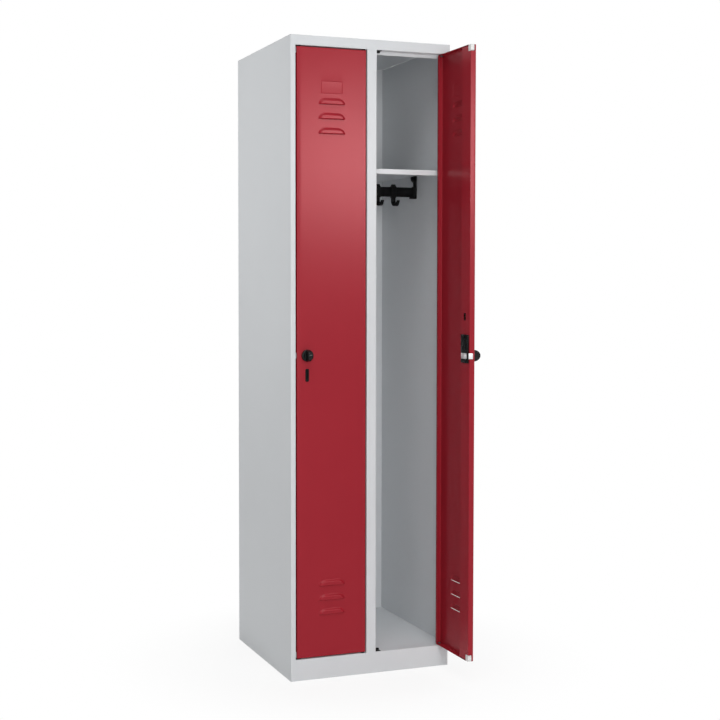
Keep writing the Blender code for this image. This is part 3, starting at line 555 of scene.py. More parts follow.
CAST_ALLOY = bare_metal(
    "bright_cast_alloy", metal=0.45, bright=(0.74, 0.745, 0.75), dull=(0.66, 0.67, 0.69), gloss=0.32
)
OILED_STEEL = bare_metal(
    "oiled_steel", metal=1.0, bright=(0.10, 0.10, 0.105), dull=(0.06, 0.06, 0.065), gloss=0.34
)
SLOT_FINISH = {
    "grey_paint": GREY_COAT,
    "red_paint": RED_COAT,
    "black_plastic": BLACK_MOULDING,
    "white_plastic": WHITE_MOULDING,
    "zinc": ZINC,
    "cast_alloy": CAST_ALLOY,
    "rubber": BUFFER_RUBBER,
}


def dress_solids():
    """Every solid that stays takes the finish of its own slot."""
    for part in frame["record"]["subparts"]:
        shown = NODES[part["node"]]
        shown.data.materials.clear()
        shown.data.materials.append(SLOT_FINISH[part["material_slot"]])


# Pressed door sheets


def louvre_height(along, high):
    """Hood height: the share inside a half stadium with oval shoulders, one minus its length in the oval's
    measure, divided by its slope to give a distance, then a smooth ramp of that distance up to a plateau
    that curls back towards the sheet just above the mouth."""
    out = np.zeros(np.broadcast_shapes(along.shape, high.shape))
    wide = np.maximum(np.abs(along - DOOR_MID) - (LOUVRE_HALF - LOUVRE_SHOULDER), 0) / LOUVRE_SHOULDER
    for mouth in LOUVRE_MOUTHS:
        up = (high - mouth) / LOUVRE_RISE
        measure = np.sqrt(wide**2 + up**2) + 1e-9
        steep = np.sqrt((wide / LOUVRE_SHOULDER) ** 2 + (up / LOUVRE_RISE) ** 2) / measure
        inside = (1 - measure) / np.maximum(steep, 1e-6)
        share = np.clip(inside / LOUVRE_SLOPE, 0, 1)
        curl = np.clip((high - mouth) / LOUVRE_CURL, 0, 1)
        share = share**2 * (3 - 2 * share)
        share = share * (LOUVRE_LIP + (1 - LOUVRE_LIP) * np.sin(curl * math.pi / 2))
        out = np.where((up >= -1e-6) & (up <= 1), np.maximum(out, LOUVRE_PROUD * share), out)
    return out


def label_height(along, high):
    """Low rib round the label field: a cosine hump across the distance to a rectangle's outline."""
    wide = np.abs(along - DOOR_MID) - (LABEL_HALF[0] - LABEL_RIB / 2)
    tall = np.abs(high - LABEL_Z) - (LABEL_HALF[1] - LABEL_RIB / 2)
    outside = np.hypot(np.maximum(wide, 0), np.maximum(tall, 0))
    away = np.abs(outside + np.minimum(np.maximum(wide, tall), 0)) / (LABEL_RIB / 2)
    return LABEL_PROUD * np.where(away < 1, 0.5 + 0.5 * np.cos(math.pi * away), 0)


def door_columns():
    """Across the sheet: latch flange, bend, face, bend, hinge flange, bend and lip, as (along, behind)."""
    rise, sink = quarter()
    ribs = [DOOR_MID + sign * (LABEL_HALF[0] - LABEL_RIB / 2) + RIB_LINES for sign in (-1, 1)]
    guard = DOOR_MID + (LOUVRE_HALF + GUARD_LINES[:, None]) * np.array([-1, 1])
    face = np.concatenate(
        [
            [DOOR_BEND, NOTCH_WIDE, KNOB_FROM_EDGE - SPINDLE_CUT, KNOB_FROM_EDGE + SPINDLE_CUT, 0.050],
            np.linspace(DOOR_MID - LOUVRE_HALF, DOOR_MID + LOUVRE_HALF, 91),
            guard.ravel(),
            *ribs,
            [0.165, 0.185, *PIN_CUT_ALONG, DOOR_WIDTH - DOOR_BEND],
        ]
    )
    face = np.unique(face.round(6))
    latch = np.array([DOOR_THICK, 0.011, NOTCH_DEEP])
    hinge = np.array(PIN_CUT_BEHIND)
    far = DOOR_WIDTH
    along = [
        np.zeros(3),
        DOOR_BEND * sink[:-1],
        face,
        far - DOOR_BEND * (1 - rise[1:]),
        np.full(2, far),
        far - LIP_BEND * sink,
        [far - 0.006, far - LIP],
    ]
    behind = [
        latch,
        DOOR_BEND * (1 - rise[:-1]),
        np.zeros(len(face)),
        DOOR_BEND * sink[1:],
        hinge,
        DOOR_THICK - LIP_BEND * (1 - rise),
        [DOOR_THICK, DOOR_THICK],
    ]
    return np.concatenate(along), np.concatenate(behind)


def door_rows():
    """Up the sheet: bottom flange, bend, face, bend, top flange, as (height, behind, above a mouth)."""
    rise, sink = quarter()
    ribs = [LABEL_Z + sign * (LABEL_HALF[1] - LABEL_RIB / 2) + RIB_LINES for sign in (-1, 1)]
    hoods = LOUVRE_MOUTHS[:, None] + np.linspace(0, LOUVRE_RISE, 28)[None, 1:]
    guard = LOUVRE_MOUTHS[:, None] + np.concatenate([-GUARD_LINES, LOUVRE_RISE + GUARD_LINES])
    low, high = DOOR_LOW, DOOR_HIGH
    plain = np.concatenate(
        [
            [low + DOOR_BEND, low + LIP_RELIEF, low + NOTCH_TALL],
            [high - NOTCH_TALL, high - LIP_RELIEF, high - DOOR_BEND],
            INSERT_Z + INSERT_CUT * np.array([-1, 1]),
            KNOB_Z + BOLT_CUT * np.array([-1, 1]),
            KNOB_Z + SPINDLE_CUT * np.array([-1, 1]),
            [0.45, 0.65, 0.78, 1.1, 1.3, 1.45, 0.14, 1.75],
            hoods.ravel(),
            guard.ravel(),
            *ribs,
        ]
    )
    face = np.concatenate([plain.round(6), LOUVRE_MOUTHS, LOUVRE_MOUTHS])
    mouths = len(LOUVRE_MOUTHS)
    above = np.concatenate([np.ones(len(plain)), np.zeros(mouths), np.ones(mouths)])
    order = np.unique(np.stack([face, above], -1), axis=0)
    face, above = order[:, 0], order[:, 1]
    flange = np.array([DOOR_THICK, PIN_CUT_BEHIND[1], NOTCH_DEEP, PIN_CUT_BEHIND[0]])
    bend = len(rise) - 1
    height = [
        np.full(4, low),
        low + DOOR_BEND * sink[:-1],
        face,
        high - DOOR_BEND * (1 - rise[1:]),
        np.full(4, high),
    ]
    behind = [
        flange,
        DOOR_BEND * (1 - rise[:-1]),
        np.zeros(len(face)),
        DOOR_BEND * sink[1:],
        flange[::-1],
    ]
    flags = [np.ones(4 + bend), above, np.ones(4 + bend)]
    return np.concatenate(height), np.concatenate(behind), np.concatenate(flags)


def within(value, low, high):
    """True where a value lies between two limits."""
    return (value > low) & (value < high)


def drawn_in(place, behind, low, high):
    """Flanges lean in: the shift falls in a straight line from the face to the rear edge."""
    shift = EDGE_DRAFT * (1 - behind / DOOR_THICK)
    return place + np.where(place < low + 1e-6, shift, 0) - np.where(place > high - 1e-6, shift, 0)


def door_sheet(side):
    """Pressed door pan. Height and width run over the unfolded sheet; past each edge the sheet follows a
    quarter circle and then runs straight back. The face is pushed out by the hoods and the label rib.
    Cells in the cut-outs, at the mouths and in the folded corners are left out."""
    along, side_back = door_columns()
    high, end_back, above = door_rows()
    a, h = np.meshgrid(along, high)
    back = np.maximum(side_back[None, :], end_back[:, None])
    on_face = (side_back[None, :] == 0) & (end_back[:, None] == 0)
    out = np.maximum(louvre_height(a, h), label_height(a, h)) * on_face * above[:, None]
    lean_a = drawn_in(along, side_back, DOOR_BEND, DOOR_WIDTH - DOOR_BEND)
    lean_h = drawn_in(high, end_back, DOOR_LOW + DOOR_BEND, DOOR_HIGH - DOOR_BEND)
    points = np.stack([*np.meshgrid(lean_a, lean_h), back - out], -1)[..., [0, 2, 1]]
    mid_a = (a[:-1, :-1] + a[1:, 1:]) / 2
    mid_h = (h[:-1, :-1] + h[1:, 1:]) / 2
    deep_side = (side_back[None, :-1] + side_back[None, 1:]) / 2 + 0 * mid_a
    deep_end = (end_back[:-1, None] + end_back[1:, None]) / 2 + 0 * mid_a
    latch = mid_a < DOOR_BEND
    on_side = deep_side > DOOR_BEND
    on_end = deep_end > DOOR_BEND
    lip = within(deep_side, DOOR_THICK - 0.0001, 1)
    lip |= within(mid_a, DOOR_MID, DOOR_WIDTH - 1e-6) & on_side
    edge = np.minimum(mid_h - DOOR_LOW, DOOR_HIGH - mid_h)
    gone = on_side & on_end
    gone |= lip & (edge < LIP_RELIEF)
    gone |= latch & (deep_side > NOTCH_DEEP) & (edge < NOTCH_TALL)
    gone |= on_end & (deep_end > NOTCH_DEEP) & (mid_a < NOTCH_WIDE)
    gone |= latch & (deep_side > NOTCH_DEEP) & (np.abs(mid_h - KNOB_Z) < BOLT_CUT)
    centre = np.abs(mid_a - KNOB_FROM_EDGE) < SPINDLE_CUT
    gone |= centre & (np.abs(mid_h - KNOB_Z) < SPINDLE_CUT)
    gone |= centre & (np.abs(mid_h - INSERT_Z) < INSERT_CUT)
    gone |= on_end & within(mid_a, *PIN_CUT_ALONG) & within(deep_end, *PIN_CUT_BEHIND)
    gone |= (h[1:, :-1] - h[:-1, :-1] == 0) & (deep_end == 0)
    grids = [(hang(points, side), False, ~gone)]
    made = piece(f"{side}_door_sheet", grids, RED_COAT, closed=False, sharp=30)
    wall = made.modifiers.new("sheet", "SOLIDIFY")
    wall.thickness = SHEET
    wall.offset = -1
    wall.use_even_offset = True
    settle(made, 30)
    return wear(made, f"{side}_door", "red_paint", f"{side}_door_panel")


# Latch pieces


def knob(side):
    """Turn knob: a turned base disc, and a wing whose section is a squarish oval, half thick by half tall,
    carried outwards while its height follows a half oval; its flanks are dished for the fingers."""
    rise, sink = quarter(6)
    rim, chamfer = 0.0022, 0.001
    disc_rim, disc_face = 0.008, 0.0078
    disc = np.concatenate(
        [
            [[0, SEAM], [KNOB_RADIUS - chamfer, SEAM], [KNOB_RADIUS, SEAM + chamfer]],
            np.stack([KNOB_RADIUS - rim * sink, disc_rim - rim * (1 - rise)], -1),
            [[KNOB_RADIUS * 0.72, disc_face], [0, disc_face]],
        ]
    )
    base = lathe(disc, 56)
    share = np.sin(np.linspace(0, math.pi / 2, 26))[:, None]
    turn = np.linspace(0, 2 * math.pi, 72, endpoint=False)[None, :]
    root = 0.0075
    out = root + share * (KNOB_PROUD - root) + 0 * turn
    tall = (KNOB_RADIUS - 0.0004) * np.sqrt(np.maximum(1 - share**2.4, 0))
    thick = 0.0068 - 0.0012 * share
    round_from = 0.97
    crown = np.sqrt(np.maximum(1 - ((share - round_from) / (1 - round_from)) ** 2, 0))
    thick = thick * np.where(share > round_from, crown, 1)
    squarish = 0.36
    across = np.sign(np.cos(turn)) * np.abs(np.cos(turn)) ** squarish
    upward = np.sign(np.sin(turn)) * np.abs(np.sin(turn)) ** squarish
    dish = (1 - upward**2) * np.sin(math.pi * np.clip(share, 0, 1)) * (np.abs(across) > 0.6)
    dish = 1 - 0.20 * dish
    wing = np.stack([thick * across * dish, tall * upward, out], -1)
    foot = wing[:1] * [1, 1, 0] + [0, 0, 0.006]
    tip = wing[-1:] * [0, 0, 1]
    wing = np.concatenate([foot * [0, 0, 1], foot, wing, tip])
    spot = (KNOB_FROM_EDGE, 0, KNOB_Z)
    grids = [(hang(placed(grid, FACING_FRONT, spot), side), True, None) for grid in (base, wing)]
    made = piece(f"{side}_turn_knob", grids, KNOB_MOULDING, sharp=50)
    return wear(made, f"{side}_knob_set", "black_plastic", f"{side}_knob")


def slot_insert(side):
    """Oblong insert: rounded rectangles run from its neck over a soft rim, across the face and down into
    a groove."""
    rise, sink = quarter(4)
    rim = 0.0006
    neck_w, neck_h, neck_end = 0.004, 0.017, -0.007
    outer_w, outer_h, outer_corner = 0.0055, 0.0185, 0.0032
    mouth_w, mouth_h = 0.0025, 0.0155
    face, groove = 0.0011, -0.0028
    soft = [outer_w - rim * sink, outer_h - rim * sink, outer_corner - rim * sink, face - rim * (1 - rise)]
    rows = np.concatenate(
        [
            [[neck_w, neck_h, 0.002, neck_end], [neck_w, neck_h, 0.002, SEAM]],
            [[outer_w, outer_h, outer_corner, SEAM]],
            np.stack(soft, -1),
            [[mouth_w + rim, mouth_h + rim, 0.0022, face]],
            [[mouth_w, mouth_h, 0.0018, 0.0006], [mouth_w - 0.0002, mouth_h - 0.0002, 0.0016, groove]],
        ]
    )
    grid = placed(ring_stack(rows), FACING_FRONT, (KNOB_FROM_EDGE, 0, INSERT_Z))
    made = piece(f"{side}_oblong_insert", [(hang(grid, side), True, None)], BLACK_MOULDING)
    return wear(made, f"{side}_door", "black_plastic", f"{side}_slot_insert")


def softened(side, node_name, body, slot, finish_used, label, edge, steps=3):
    """A solid's own shape with its doubles merged, flat faces joined and every hard edge rounded."""
    made = NODES[node_name].copy()
    made.data = NODES[node_name].data.copy()
    made.name = f"{side}_{label}"
    made.data.name = made.name
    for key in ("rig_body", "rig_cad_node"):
        if key in made:
            del made[key]
    bpy.context.scene.collection.objects.link(made)
    made.parent = None
    bm = bmesh.new()
    bm.from_mesh(made.data)
    bmesh.ops.remove_doubles(bm, verts=bm.verts[:], dist=1e-6)
    bmesh.ops.dissolve_limit(bm, angle_limit=0.01, verts=bm.verts[:], edges=bm.edges[:])
    bm.to_mesh(made.data)
    bm.free()
    made.data.materials.clear()
    made.data.materials.append(finish_used)
    rounding = made.modifiers.new("edges", "BEVEL")
    rounding.width = edge
    rounding.segments = steps
    rounding.limit_method = "ANGLE"
    rounding.angle_limit = math.radians(40)
    rounding.use_clamp_overlap = True
    settle(made, 35)
    return wear(made, body, slot, node_name)


def corner_plug(side, level):
    """Plug in a latch corner: rounded rectangles stacked through the door's depth, soft on both rims and
    with a shallow groove round the middle."""
    upper = (DOOR_HIGH - PLUG_TALL, DOOR_HIGH - SEAM)
    lower = (DOOR_LOW + SEAM, DOOR_LOW + PLUG_TALL)
    low, high = upper if level == "upper" else lower
    half_w, half_h = (PLUG_WIDE - SEAM) / 2, (high - low) / 2
    corner, groove = 0.0042, 0.0005
    rows = pillow_rows(half_w, half_h, corner, 0.006, DOOR_THICK, 0.0011)
    rim = [half_w, half_h, corner]
    sunk = [half_w - groove, half_h - groove, 0.004]
    ring = [[*rim, 0.0092], [*sunk, 0.0096], [*sunk, 0.0106], [*rim, 0.011]]
    rows = np.insert(rows, 5, ring, 0)
    spot = ((PLUG_WIDE + SEAM) / 2, 0, (low + high) / 2)
    grid = placed(ring_stack(rows), FACING_BACK, spot)
    made = piece(f"{side}_{level}_plug", [(hang(grid, side), True, None)], WHITE_MOULDING)
    return wear(made, f"{side}_door", "white_plastic", f"{side}_{level}_corner_plug")


def frame_buffer(side, level):
    """Buffer in a corner of the frame: a soft-edged stop that thins towards its free side, with ribs, and
    in front of it a thin ramp under the door's edge. The thickness of both falls in a straight line."""
    low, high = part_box(f"{side}_{level}_door_buffer")
    anchor, way = (high.z, -1) if level == "upper" else (low.z, 1)
    tall = high.z - low.z
    grids = []
    stop = (low.y, high.y, tall, 0.22, 0.0003)
    thin_ramp = (0.0024, low.y + 0.0006, 0.0019, 0.45, 0)
    for front, rear, thick, fall, ribs in (stop, thin_ramp):
        half = ((high.x - low.x) / 2, thick / 2, (rear - front) / 2)
        rows = pillow_rows(half[0], half[1], 0.0006, -half[2], half[2], 0.0005)
        spot = ((low.x + high.x) / 2, (front + rear) / 2, half[1])
        grid = placed(ring_stack(rows), FACING_BACK, spot)
        free = np.clip((grid[..., 0] - low.x) / (high.x - low.x), 0, 1)
        pull = 1 - fall * free - ribs * (1 - np.cos(free * 6 * math.pi)) / tall
        grid = np.stack([grid[..., 0], grid[..., 1], anchor + way * grid[..., 2] * pull], -1)
        grids.append((grid, True, None))
    made = piece(f"{side}_{level}_buffer", grids, BUFFER_RUBBER)
    return wear(made, "cabinet", "rubber", f"{side}_{level}_door_buffer")


def hinge_round(side, level, kind, body, slot, finish_used, profile):
    """A hinge pin or bush: a stepped profile with small chamfers turned round the door's hinge axis."""
    low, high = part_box(f"{side}_{level}_hinge_{kind}")
    spot = ((low.x + high.x) / 2, (low.y + high.y) / 2, 0)
    grid = lathe(profile(low.z, high.z, level), 40) + np.asarray(spot)
    made = piece(f"{side}_{level}_{kind}", [(grid, True, None)], finish_used)
    return wear(made, body, slot, f"{side}_{level}_hinge_{kind}")


def pin_profile(low, high, level):
    """Domed tip, shank, collar and head, from the free end to the seat."""
    way = -1 if level == "upper" else 1
    tip, head = (high, low) if level == "upper" else (low, high)
    shank, collar, thick, dome = 0.003, 0.0044, 0.003, 0.0016
    seat = head - way * thick
    t = np.linspace(0, math.pi / 2, 6)
    end = np.stack([shank * np.sin(t), tip + way * dome * (1 - np.cos(t))], -1)
    rest = [[shank, seat - way * 0.0002], [collar - 0.0003, seat], [collar, seat + way * 0.0003]]
    rest += [[collar, head - way * 0.0004], [collar - 0.0004, head], [0, head]]
    return np.concatenate([end, rest])


def bush_profile(low, high, level):
    """Bore, barrel and flange with a softened rim; it ends where it began."""
    way = -1 if level == "upper" else 1
    top, face = (high, low) if level == "upper" else (low, high)
    bore, barrel, flange = 0.0033, 0.0045, 0.0065
    rim = face - way * 0.0019
    ring = [[bore, top], [barrel - 0.0003, top], [barrel, top + way * 0.0003], [barrel, rim]]
    ring += [[flange - 0.0004, rim], [flange, rim + way * 0.0004]]
    ring += [[flange, face - way * 0.0005], [flange - 0.0005, face]]
    ring += [[bore + 0.0005, face], [bore, face - way * 0.0005], [bore, top]]
    return np.array(ring)


def weld_fill(name, centre, half, corner, low, high):
    """Ground-flush weld: one rounded rectangle carried along the seam, flush with the sheets beside it."""
    rows = [[*half, corner, low], [*half, corner, high]]
    grid = placed(ring_stack(rows, 8), FACING_UP, (*centre, 0))
    made = piece(name, [(grid, True, None)], GREY_COAT, sharp=50)
    return wear(made, "cabinet", "grey_paint")


def weld_fills():
    """Seams of the front frame, where rail and plinth meet the stiles and the centre post."""
    seam_x, seam_half, seam_corner = 0.23585, (0.00115, 0.0011), 0.00004
    for level, low, high in (("upper", 1.8212, 1.8488), ("lower", 0.0004, 0.0618)):
        for side, sign in (("left", -1), ("right", 1)):
            centre = (sign * seam_x, seam_half[1])
            weld_fill(f"{side}_{level}_frame_weld", centre, seam_half, seam_corner, low, high)
    post_half, post_corner = (0.015, 0.003), 0.002
    for level, low, high in (("upper", 1.8204, 1.8230), ("lower", 0.0600, 0.0626)):
        weld_fill(f"{level}_post_weld", (0, post_half[1]), post_half, post_corner, low, high)


def slot_shade_plate(side):
    """Black plate behind the sight slot, painted shade: a soft-edged block inside the stiffener that stands
    in for the shade inside it.
    """
    rows = pillow_rows(half_w=0.0100, half_h=0.0135, corner=0.001, low=0.0125, high=0.0150, edge=0.0004)
    grid = placed(ring_stack(rows), FACING_BACK, (KNOB_FROM_EDGE, 0, SIGHT_SLOT_Z))
    made = piece(f"{side}_slot_shade_plate", [(hang(grid, side), True, None)], BLACK_MOULDING)
    return wear(made, f"{side}_door", "black_plastic")


# Coat rails and hooks


def rail_section():
    """Bar's section: a rounded rectangle whose broad faces dip by a narrow bell at each of four grooves."""
    half_t, half_h, corner = 0.004, 0.015, 0.0016
    z = np.linspace(-half_h + corner, half_h - corner, 97)
    lines = np.array([-0.0095, -0.0068, 0.0068, 0.0095])
    groove = 0.00055
    dip = groove * np.exp(-(((z[:, None] - lines[None, :]) / groove) ** 2)).sum(1)
    t = np.linspace(0, math.pi / 2, 5)[1:-1]
    front = np.stack([-half_t + dip, z], -1)
    over = np.stack([-half_t + corner * (1 - np.cos(t)), half_h - corner * (1 - np.sin(t))], -1)
    rear = [over[::-1] * [-1, 1], front[::-1] * [-1, 1]]
    under = [over * [-1, -1], over[::-1] * [1, -1]]
    return np.concatenate([front, over, *rear, *under])


def rail_prong(wall, sign):
    """Horn under the shelf: an oval section carried out and up a quarter oval, thinned to a blunt tip."""
    t = np.linspace(-math.pi / 2, 0, 25)
    share = np.linspace(0, 1, 25)
    out, rise = 0.0078, 0.0122
    half_thick, half_deep = 0.0044, 0.0068
    from_wall, curl = 0.006, RAIL_TOP - 0.004
    reach = from_wall + out * np.cos(t)
    path = np.stack([wall + sign * reach, 0 * t + RAIL_Y, curl + rise * np.sin(t)], -1)
    size = np.hypot(rise * np.cos(t), out * np.sin(t))
    across = np.stack([sign * rise * np.cos(t) / size, 0 * t, out * np.sin(t) / size], -1)
    along = np.stack([-sign * out * np.sin(t) / size, 0 * t, rise * np.cos(t) / size], -1)
    thin = half_thick * (1 - 0.5 * share**1.2)
    end = np.linspace(0, math.pi / 2, 5)[1:]
    tip = path[-1] + along[-1] * (0.0016 * np.sin(end))[:, None]
    root = path[:1] - along[:1] * 0.002
    path = np.concatenate([root, root, path, tip])
    across = np.concatenate([across[:1], across[:1], across, np.repeat(across[-1:], len(end), 0)])
    thin = np.concatenate([[0], thin[:1], thin, np.cos(end) * thin[-1]]) / half_thick
    depth = np.concatenate([[0], np.ones(len(t) + 1), np.cos(end) * 0.3 + 0.7])
    depth[-1] = 0
    other = np.tile([0.0, 1.0, 0.0], (len(path), 1))
    section = rounded_ring(half_thick, half_deep, 0.0028)[0]
    return carried(path, across, other, section, np.stack([thin, depth], -1))


def coat_rail(side):
    """Coat rail: the grooved bar carried between two arms; each arm is a soft upright on a collar, with a
    socket, a ridge and a prong."""
    low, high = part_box(f"{side}_coat_rail")
    section = rail_section()
    inset = 0.003
    stations = np.array([low.x + inset, low.x + inset, high.x - inset, high.x - inset])
    path = np.stack([stations, 0 * stations + RAIL_Y, 0 * stations + RAIL_Z], -1)
    scale = np.array([[0, 0], [1, 1], [1, 1], [0, 0]], float)
    y_axis = np.tile([0.0, 1.0, 0.0], (4, 1))
    z_axis = np.tile([0.0, 0.0, 1.0], (4, 1))
    grids = [(carried(path, y_axis, z_axis, section, scale), True, None)]
    foot = RAIL_Z - 0.020
    upright = (0.0035, pillow_rows(0.0035, 0.0075, 0.0016, foot + 0.004, RAIL_TOP, 0.0005))
    collar = (0.010, pillow_rows(0.010, 0.0075, 0.0022, foot, foot + 0.010, 0.0014))
    socket = (0.0055, pillow_rows(0.0055, 0.0062, 0.0018, foot + 0.008, RAIL_Z + 0.0168, 0.0012))
    ridge = (0.0105, pillow_rows(0.0012, 0.0070, 0.0008, foot + 0.008, RAIL_Z + 0.0174, 0.0006))
    for wall, sign in ((low.x, 1), (high.x, -1)):
        for from_wall, rows in (upright, collar, socket, ridge):
            grids.append((ring_stack(rows) + [wall + sign * from_wall, RAIL_Y, 0], True, None))
        grids.append((rail_prong(wall, sign), True, None))
    made = piece(f"{side}_rail_moulding", grids, RAIL_MOULDING)
    return wear(made, "cabinet", "black_plastic", f"{side}_coat_rail")


def hook_bowl():
    """Centre line (y, z) of a hook below its loop: straight down, part of an oval, then to a flared tip."""
    start, bend = -0.0165, -0.0286
    deep, low = 0.018, 0.013
    tip_y, tip_z = -0.0375, -0.0288
    drop = np.linspace(start, bend, 7)
    t = np.radians(np.linspace(0, -125, 33))[1:]
    y = -deep + deep * np.cos(t)
    z = bend + low * np.sin(t)
    share = np.linspace(0, 1, 13)[1:]
    flare_y = y[-1] + (tip_y - y[-1]) * share
    flare_z = z[-1] + (tip_z - z[-1]) * (0.82 * share + 0.18 * share**2)
    return np.stack([np.concatenate([0 * drop, y, flare_y]), np.concatenate([drop, z, flare_z])], -1)


def coat_hook(side, number):
    """Coat hook: a loop whose section goes once round the bar, a bowl that thins to a round tip, and a nub
    on top."""
    low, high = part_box(f"{side}_coat_hook_{number}")
    mid = np.array([(low.x + high.x) / 2, RAIL_Y, RAIL_Z])
    section = rounded_ring(half_w=0.0016, half_h=0.0078, radius=0.0012)[0]
    loop = rounded_ring(half_w=0.0060, half_h=0.0170, radius=0.0034, steps=6)[0]
    step = np.roll(loop, -1, 0) - np.roll(loop, 1, 0)
    out = np.stack([step[:, 1], -step[:, 0]], -1)
    out /= np.linalg.norm(out, axis=1)[:, None]
    path = np.concatenate([np.zeros((len(loop), 1)), loop], 1)
    across = np.concatenate([np.zeros((len(loop), 1)), out], 1)
    other = np.tile([1.0, 0.0, 0.0], (len(loop), 1))
    ring = carried(path, across, other, section, np.ones((len(loop), 2)))
    ring = np.concatenate([ring, ring[:1]])
    bowl = hook_bowl()
    way = np.gradient(bowl, axis=0)
    way /= np.linalg.norm(way, axis=1)[:, None]
    far = np.linspace(0, 1, len(bowl))
    thin_from, narrow_from = 0.45, 0.35
    thick = 1 - 0.62 * np.clip((far - thin_from) / (1 - thin_from), 0, 1)
    wide = 1 - 0.30 * np.clip((far - narrow_from) / (1 - narrow_from), 0, 1) ** 1.5
    end = np.linspace(0, math.pi / 2, 7)[1:]
    tip = bowl[-1] + way[-1] * (0.0014 * np.sin(end))[:, None]
    bowl = np.concatenate([bowl[:1], bowl, tip])
    way = np.concatenate([way[:1], way, np.repeat(way[-1:], len(end), 0)])
    thick = np.concatenate([[0], thick, thick[-1] * np.cos(end)])
    wide = np.concatenate([[0], wide, wide[-1] * (1 - 0.22 * (1 - np.cos(end)))])
    wide[-1] = 0
    path = np.concatenate([np.zeros((len(bowl), 1)), bowl], 1)
    across = np.stack([0 * way[:, 0], way[:, 1], -way[:, 0]], -1)
    other = np.tile([1.0, 0.0, 0.0], (len(bowl), 1))
    blade = rounded_ring(half_w=0.003, half_h=0.0072, radius=0.0017)[0]
    stem = carried(path, across, other, blade, np.stack([thick, wide], -1))
    nub = pillow_rows(half_w=0.0070, half_h=0.004, corner=0.002, low=0.0170, high=0.0236, edge=0.0030)
    nub = ring_stack(nub)
    grids = [(grid + mid, True, None) for grid in (ring, stem, nub)]
    made = piece(f"{side}_hook_moulding_{number}", grids, RAIL_MOULDING)
    return wear(made, f"{side}_hook_{number}", "black_plastic", f"{side}_coat_hook_{number}")


def rail_screw(side, which):
    """Pan-head screw: a turned head and shank; the crown sinks where a cross of two narrow bells meets."""
    name = f"{side}_{which}_rail_screw"
    low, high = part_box(name)
    spot = ((low.x + high.x) / 2, (low.y + high.y) / 2)
    radius, under = 0.0036, high.z - 0.0022
    shank, crown_fall = 0.0018, 0.0011
    slot_reach, slot_half, slot_deep = 0.0026, 0.00055, 0.0011
    share = np.linspace(0, 1, 15)
    crown = np.stack([radius * share, high.z - crown_fall * share**2.6], -1)
    rest = [[radius, under], [shank, under], [shank, low.z + 0.002], [0.0004, low.z], [0, low.z]]
    grid = lathe(np.concatenate([crown, rest]), 64)
    head = np.arange(len(grid))[:, None] < len(crown)
    x, y = grid[..., 0], grid[..., 1]
    reach = np.clip(1 - np.hypot(x, y) / slot_reach, 0, 1)
    cross = np.maximum(np.exp(-((x / slot_half) ** 4)), np.exp(-((y / slot_half) ** 4)))
    sink = slot_deep * cross * np.minimum(reach * 3, 1) * head
    grid = np.stack([x + spot[0], y + spot[1], grid[..., 2] - sink], -1)
    made = piece(f"{side}_{which}_screw", [(grid, True, None)], ZINC)
    return wear(made, "cabinet", "zinc", name)


# Studio


def looked_at(tree):
    """One where the camera, a reflection or a view through glass looks, and zero for other light."""
    path = node(tree, "ShaderNodeLightPath").outputs
    seen = math_node(tree, "MAXIMUM", path["Is Camera Ray"], path["Is Glossy Ray"])
    return math_node(tree, "MAXIMUM", seen, path["Is Transmission Ray"])


def mix_surface(tree, factor, first, second, out):
    """Mixes two shaders by a factor and feeds the output's surface."""
    made = node(tree, "ShaderNodeMixShader")
    for slot, socket in zip(made.inputs, (factor, first.outputs[0], second.outputs[0])):
        tree.links.new(socket, slot)
    tree.links.new(made.outputs[0], out.inputs["Surface"])


def studio_floor():
    """Pale floor: a disc in polar rings that turns to plain white far from the locker, where no shade
    falls."""
    reach = np.array([0.0, 0.4, 0.8, 1.4, 2.2, 4.0, 8.0])
    grid = lathe(np.stack([reach, 0 * reach - 0.0004], -1), 64)
    made, tree, shader, vector = finish("pale_floor")
    tree.nodes.remove(shader)
    matt = node(tree, "ShaderNodeBsdfDiffuse")
    matt.inputs["Color"].default_value = (0.90, 0.90, 0.90, 1)
    white = node(tree, "ShaderNodeEmission")
    white.inputs["Color"].default_value = (1, 1, 1, 1)
    split = node(tree, "ShaderNodeSeparateXYZ")
    tree.links.new(vector, split.inputs[0])
    x2 = math_node(tree, "POWER", split.outputs["X"], 2.0)
    y2 = math_node(tree, "POWER", math_node(tree, "ADD", split.outputs["Y"], -0.2), 2.0)
    away = math_node(tree, "SQRT", math_node(tree, "ADD", x2, y2))
    far = ramp(tree, away, 0.30, 0.80, 0.85, 1.0)
    white_share = math_node(tree, "MULTIPLY", far, looked_at(tree))
    mix_surface(tree, white_share, matt, white, tree.nodes["Material Output"])
    floor = piece("studio_floor", [(grid, True, None)], made, closed=False)


def studio_world(level):
    """White where the camera or a reflection looks, and an even grey light on everything else."""
    world = bpy.data.worlds.new("studio")
    world.use_nodes = True
    tree = world.node_tree
    shade = tree.nodes["Background"]
    shade.inputs["Color"].default_value = (0.985, 0.992, 1.0, 1)
    shade.inputs["Strength"].default_value = level
    white = node(tree, "ShaderNodeBackground")
    white.inputs["Color"].default_value = (1, 1, 1, 1)
    white.inputs["Strength"].default_value = 1.0
    mix_surface(tree, looked_at(tree), shade, white, tree.nodes["World Output"])
    bpy.context.scene.world = world


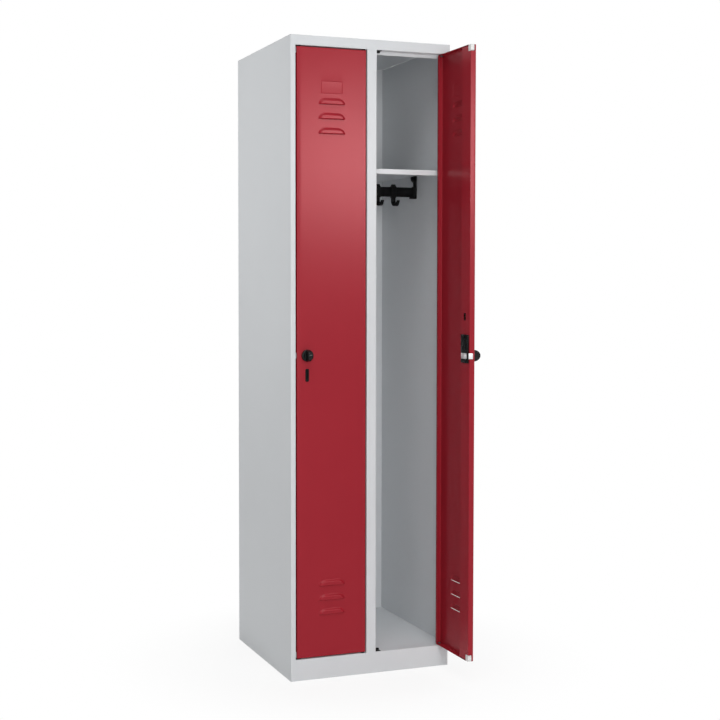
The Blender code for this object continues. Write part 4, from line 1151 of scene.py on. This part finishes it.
def softbox(name, spot, aim, wide, tall, brightness, lights=True, shines=True):
    """An area lamp of a given brightness: its power is brightness times pi times its area. A lamp that
    only lights isn't seen in reflections, and one that only shines is seen in nothing else."""
    lamp = bpy.data.lights.new(name, "AREA")
    lamp.shape = "RECTANGLE"
    lamp.size = wide
    lamp.size_y = tall
    lamp.energy = brightness * math.pi * wide * tall
    made = bpy.data.objects.new(name, lamp)
    made.location = spot
    made.rotation_euler = (Vector(aim) - Vector(spot)).to_track_quat("-Z", "Y").to_euler()
    made.visible_camera = False
    made.visible_diffuse = lights
    made.visible_glossy = shines
    bpy.context.scene.collection.objects.link(made)


def studio_camera():
    """Camera at the photograph's viewing angle, with the small shift that its framing needs."""
    lens = bpy.data.cameras.new("camera")
    lens.sensor_width = 36
    lens.lens = 67.105
    lens.shift_x = 0.06177
    lens.shift_y = -0.029
    made = bpy.data.objects.new("camera", lens)
    made.location = (-1.5284, -3.5987, 1.1488)
    tilt, turn = -2.4121, -20.6125
    made.rotation_euler = (math.radians(90 + tilt), 0, math.radians(turn))
    bpy.context.scene.collection.objects.link(made)
    bpy.context.scene.camera = made


def build():
    """Dresses both doors and the cabinet, then sets up the studio round them."""
    dress_solids()
    for side in SIDES:
        door = f"{side}_door"
        door_sheet(side)
        knob(side)
        slot_insert(side)
        # black plate inside the stiffener: painted shade seen through the sight slot
        slot_shade_plate(side)
        case, bolt = f"{side}_lock_case", f"{side}_latch_bolt"
        softened(side, case, door, "black_plastic", BLACK_MOULDING, "latch_case", edge=0.0007)
        softened(side, bolt, f"{side}_bolt", "cast_alloy", CAST_ALLOY, "sliding_bolt", edge=0.0006)
        for level in LEVELS:
            corner_plug(side, level)
            frame_buffer(side, level)
            hinge_round(side, level, "pin", door, "zinc", OILED_STEEL, pin_profile)
            hinge_round(side, level, "bush", "cabinet", "black_plastic", BLACK_MOULDING, bush_profile)
        coat_rail(side)
        for which in ("first", "second"):
            rail_screw(side, which)
        for number in (1, 2, 3):
            coat_hook(side, number)
    weld_fills()
    studio_floor()
    studio_world(0.14)
    softbox("front_softbox", (1.40, -2.85, 1.80), (0.0, 0, 1.5), 1.40, 0.62, 14.0, lights=False)
    softbox("near_softbox", (-0.7, -3.4, 1.5), (0.1, 0.2, 1.0), 1.6, 2.0, 4.2)
    softbox("fill_softbox", (0.3, -3.6, 1.4), (0.1, 0.2, 0.9), 1.0, 2.0, 2.2, shines=False)
    softbox("high_softbox", (-0.8, -2.2, 5.4), (0.0, 0.3, 0.0), 3.0, 3.0, 3.8)
    softbox("side_softbox", (-1.7, 0.45, 1.68), (-0.25, 0.25, 1.45), 1.1, 1.1, 2.55)
    softbox("right_softbox", (3.0, 0.6, 2.0), (0.25, 0.1, 1.1), 1.8, 1.8, 3.2)
    softbox("rear_softbox", (1.7, 3.6, 2.2), (0, 0.3, 0.9), 2.2, 2.2, 2.5)
    softbox("inside_softbox", (0.12, 0.03, 0.90), (0.12, 0.5, 0.90), 0.17, 1.6, 0.19, shines=False)
    studio_camera()
    bpy.context.scene.view_settings.view_transform = "Standard"


build()
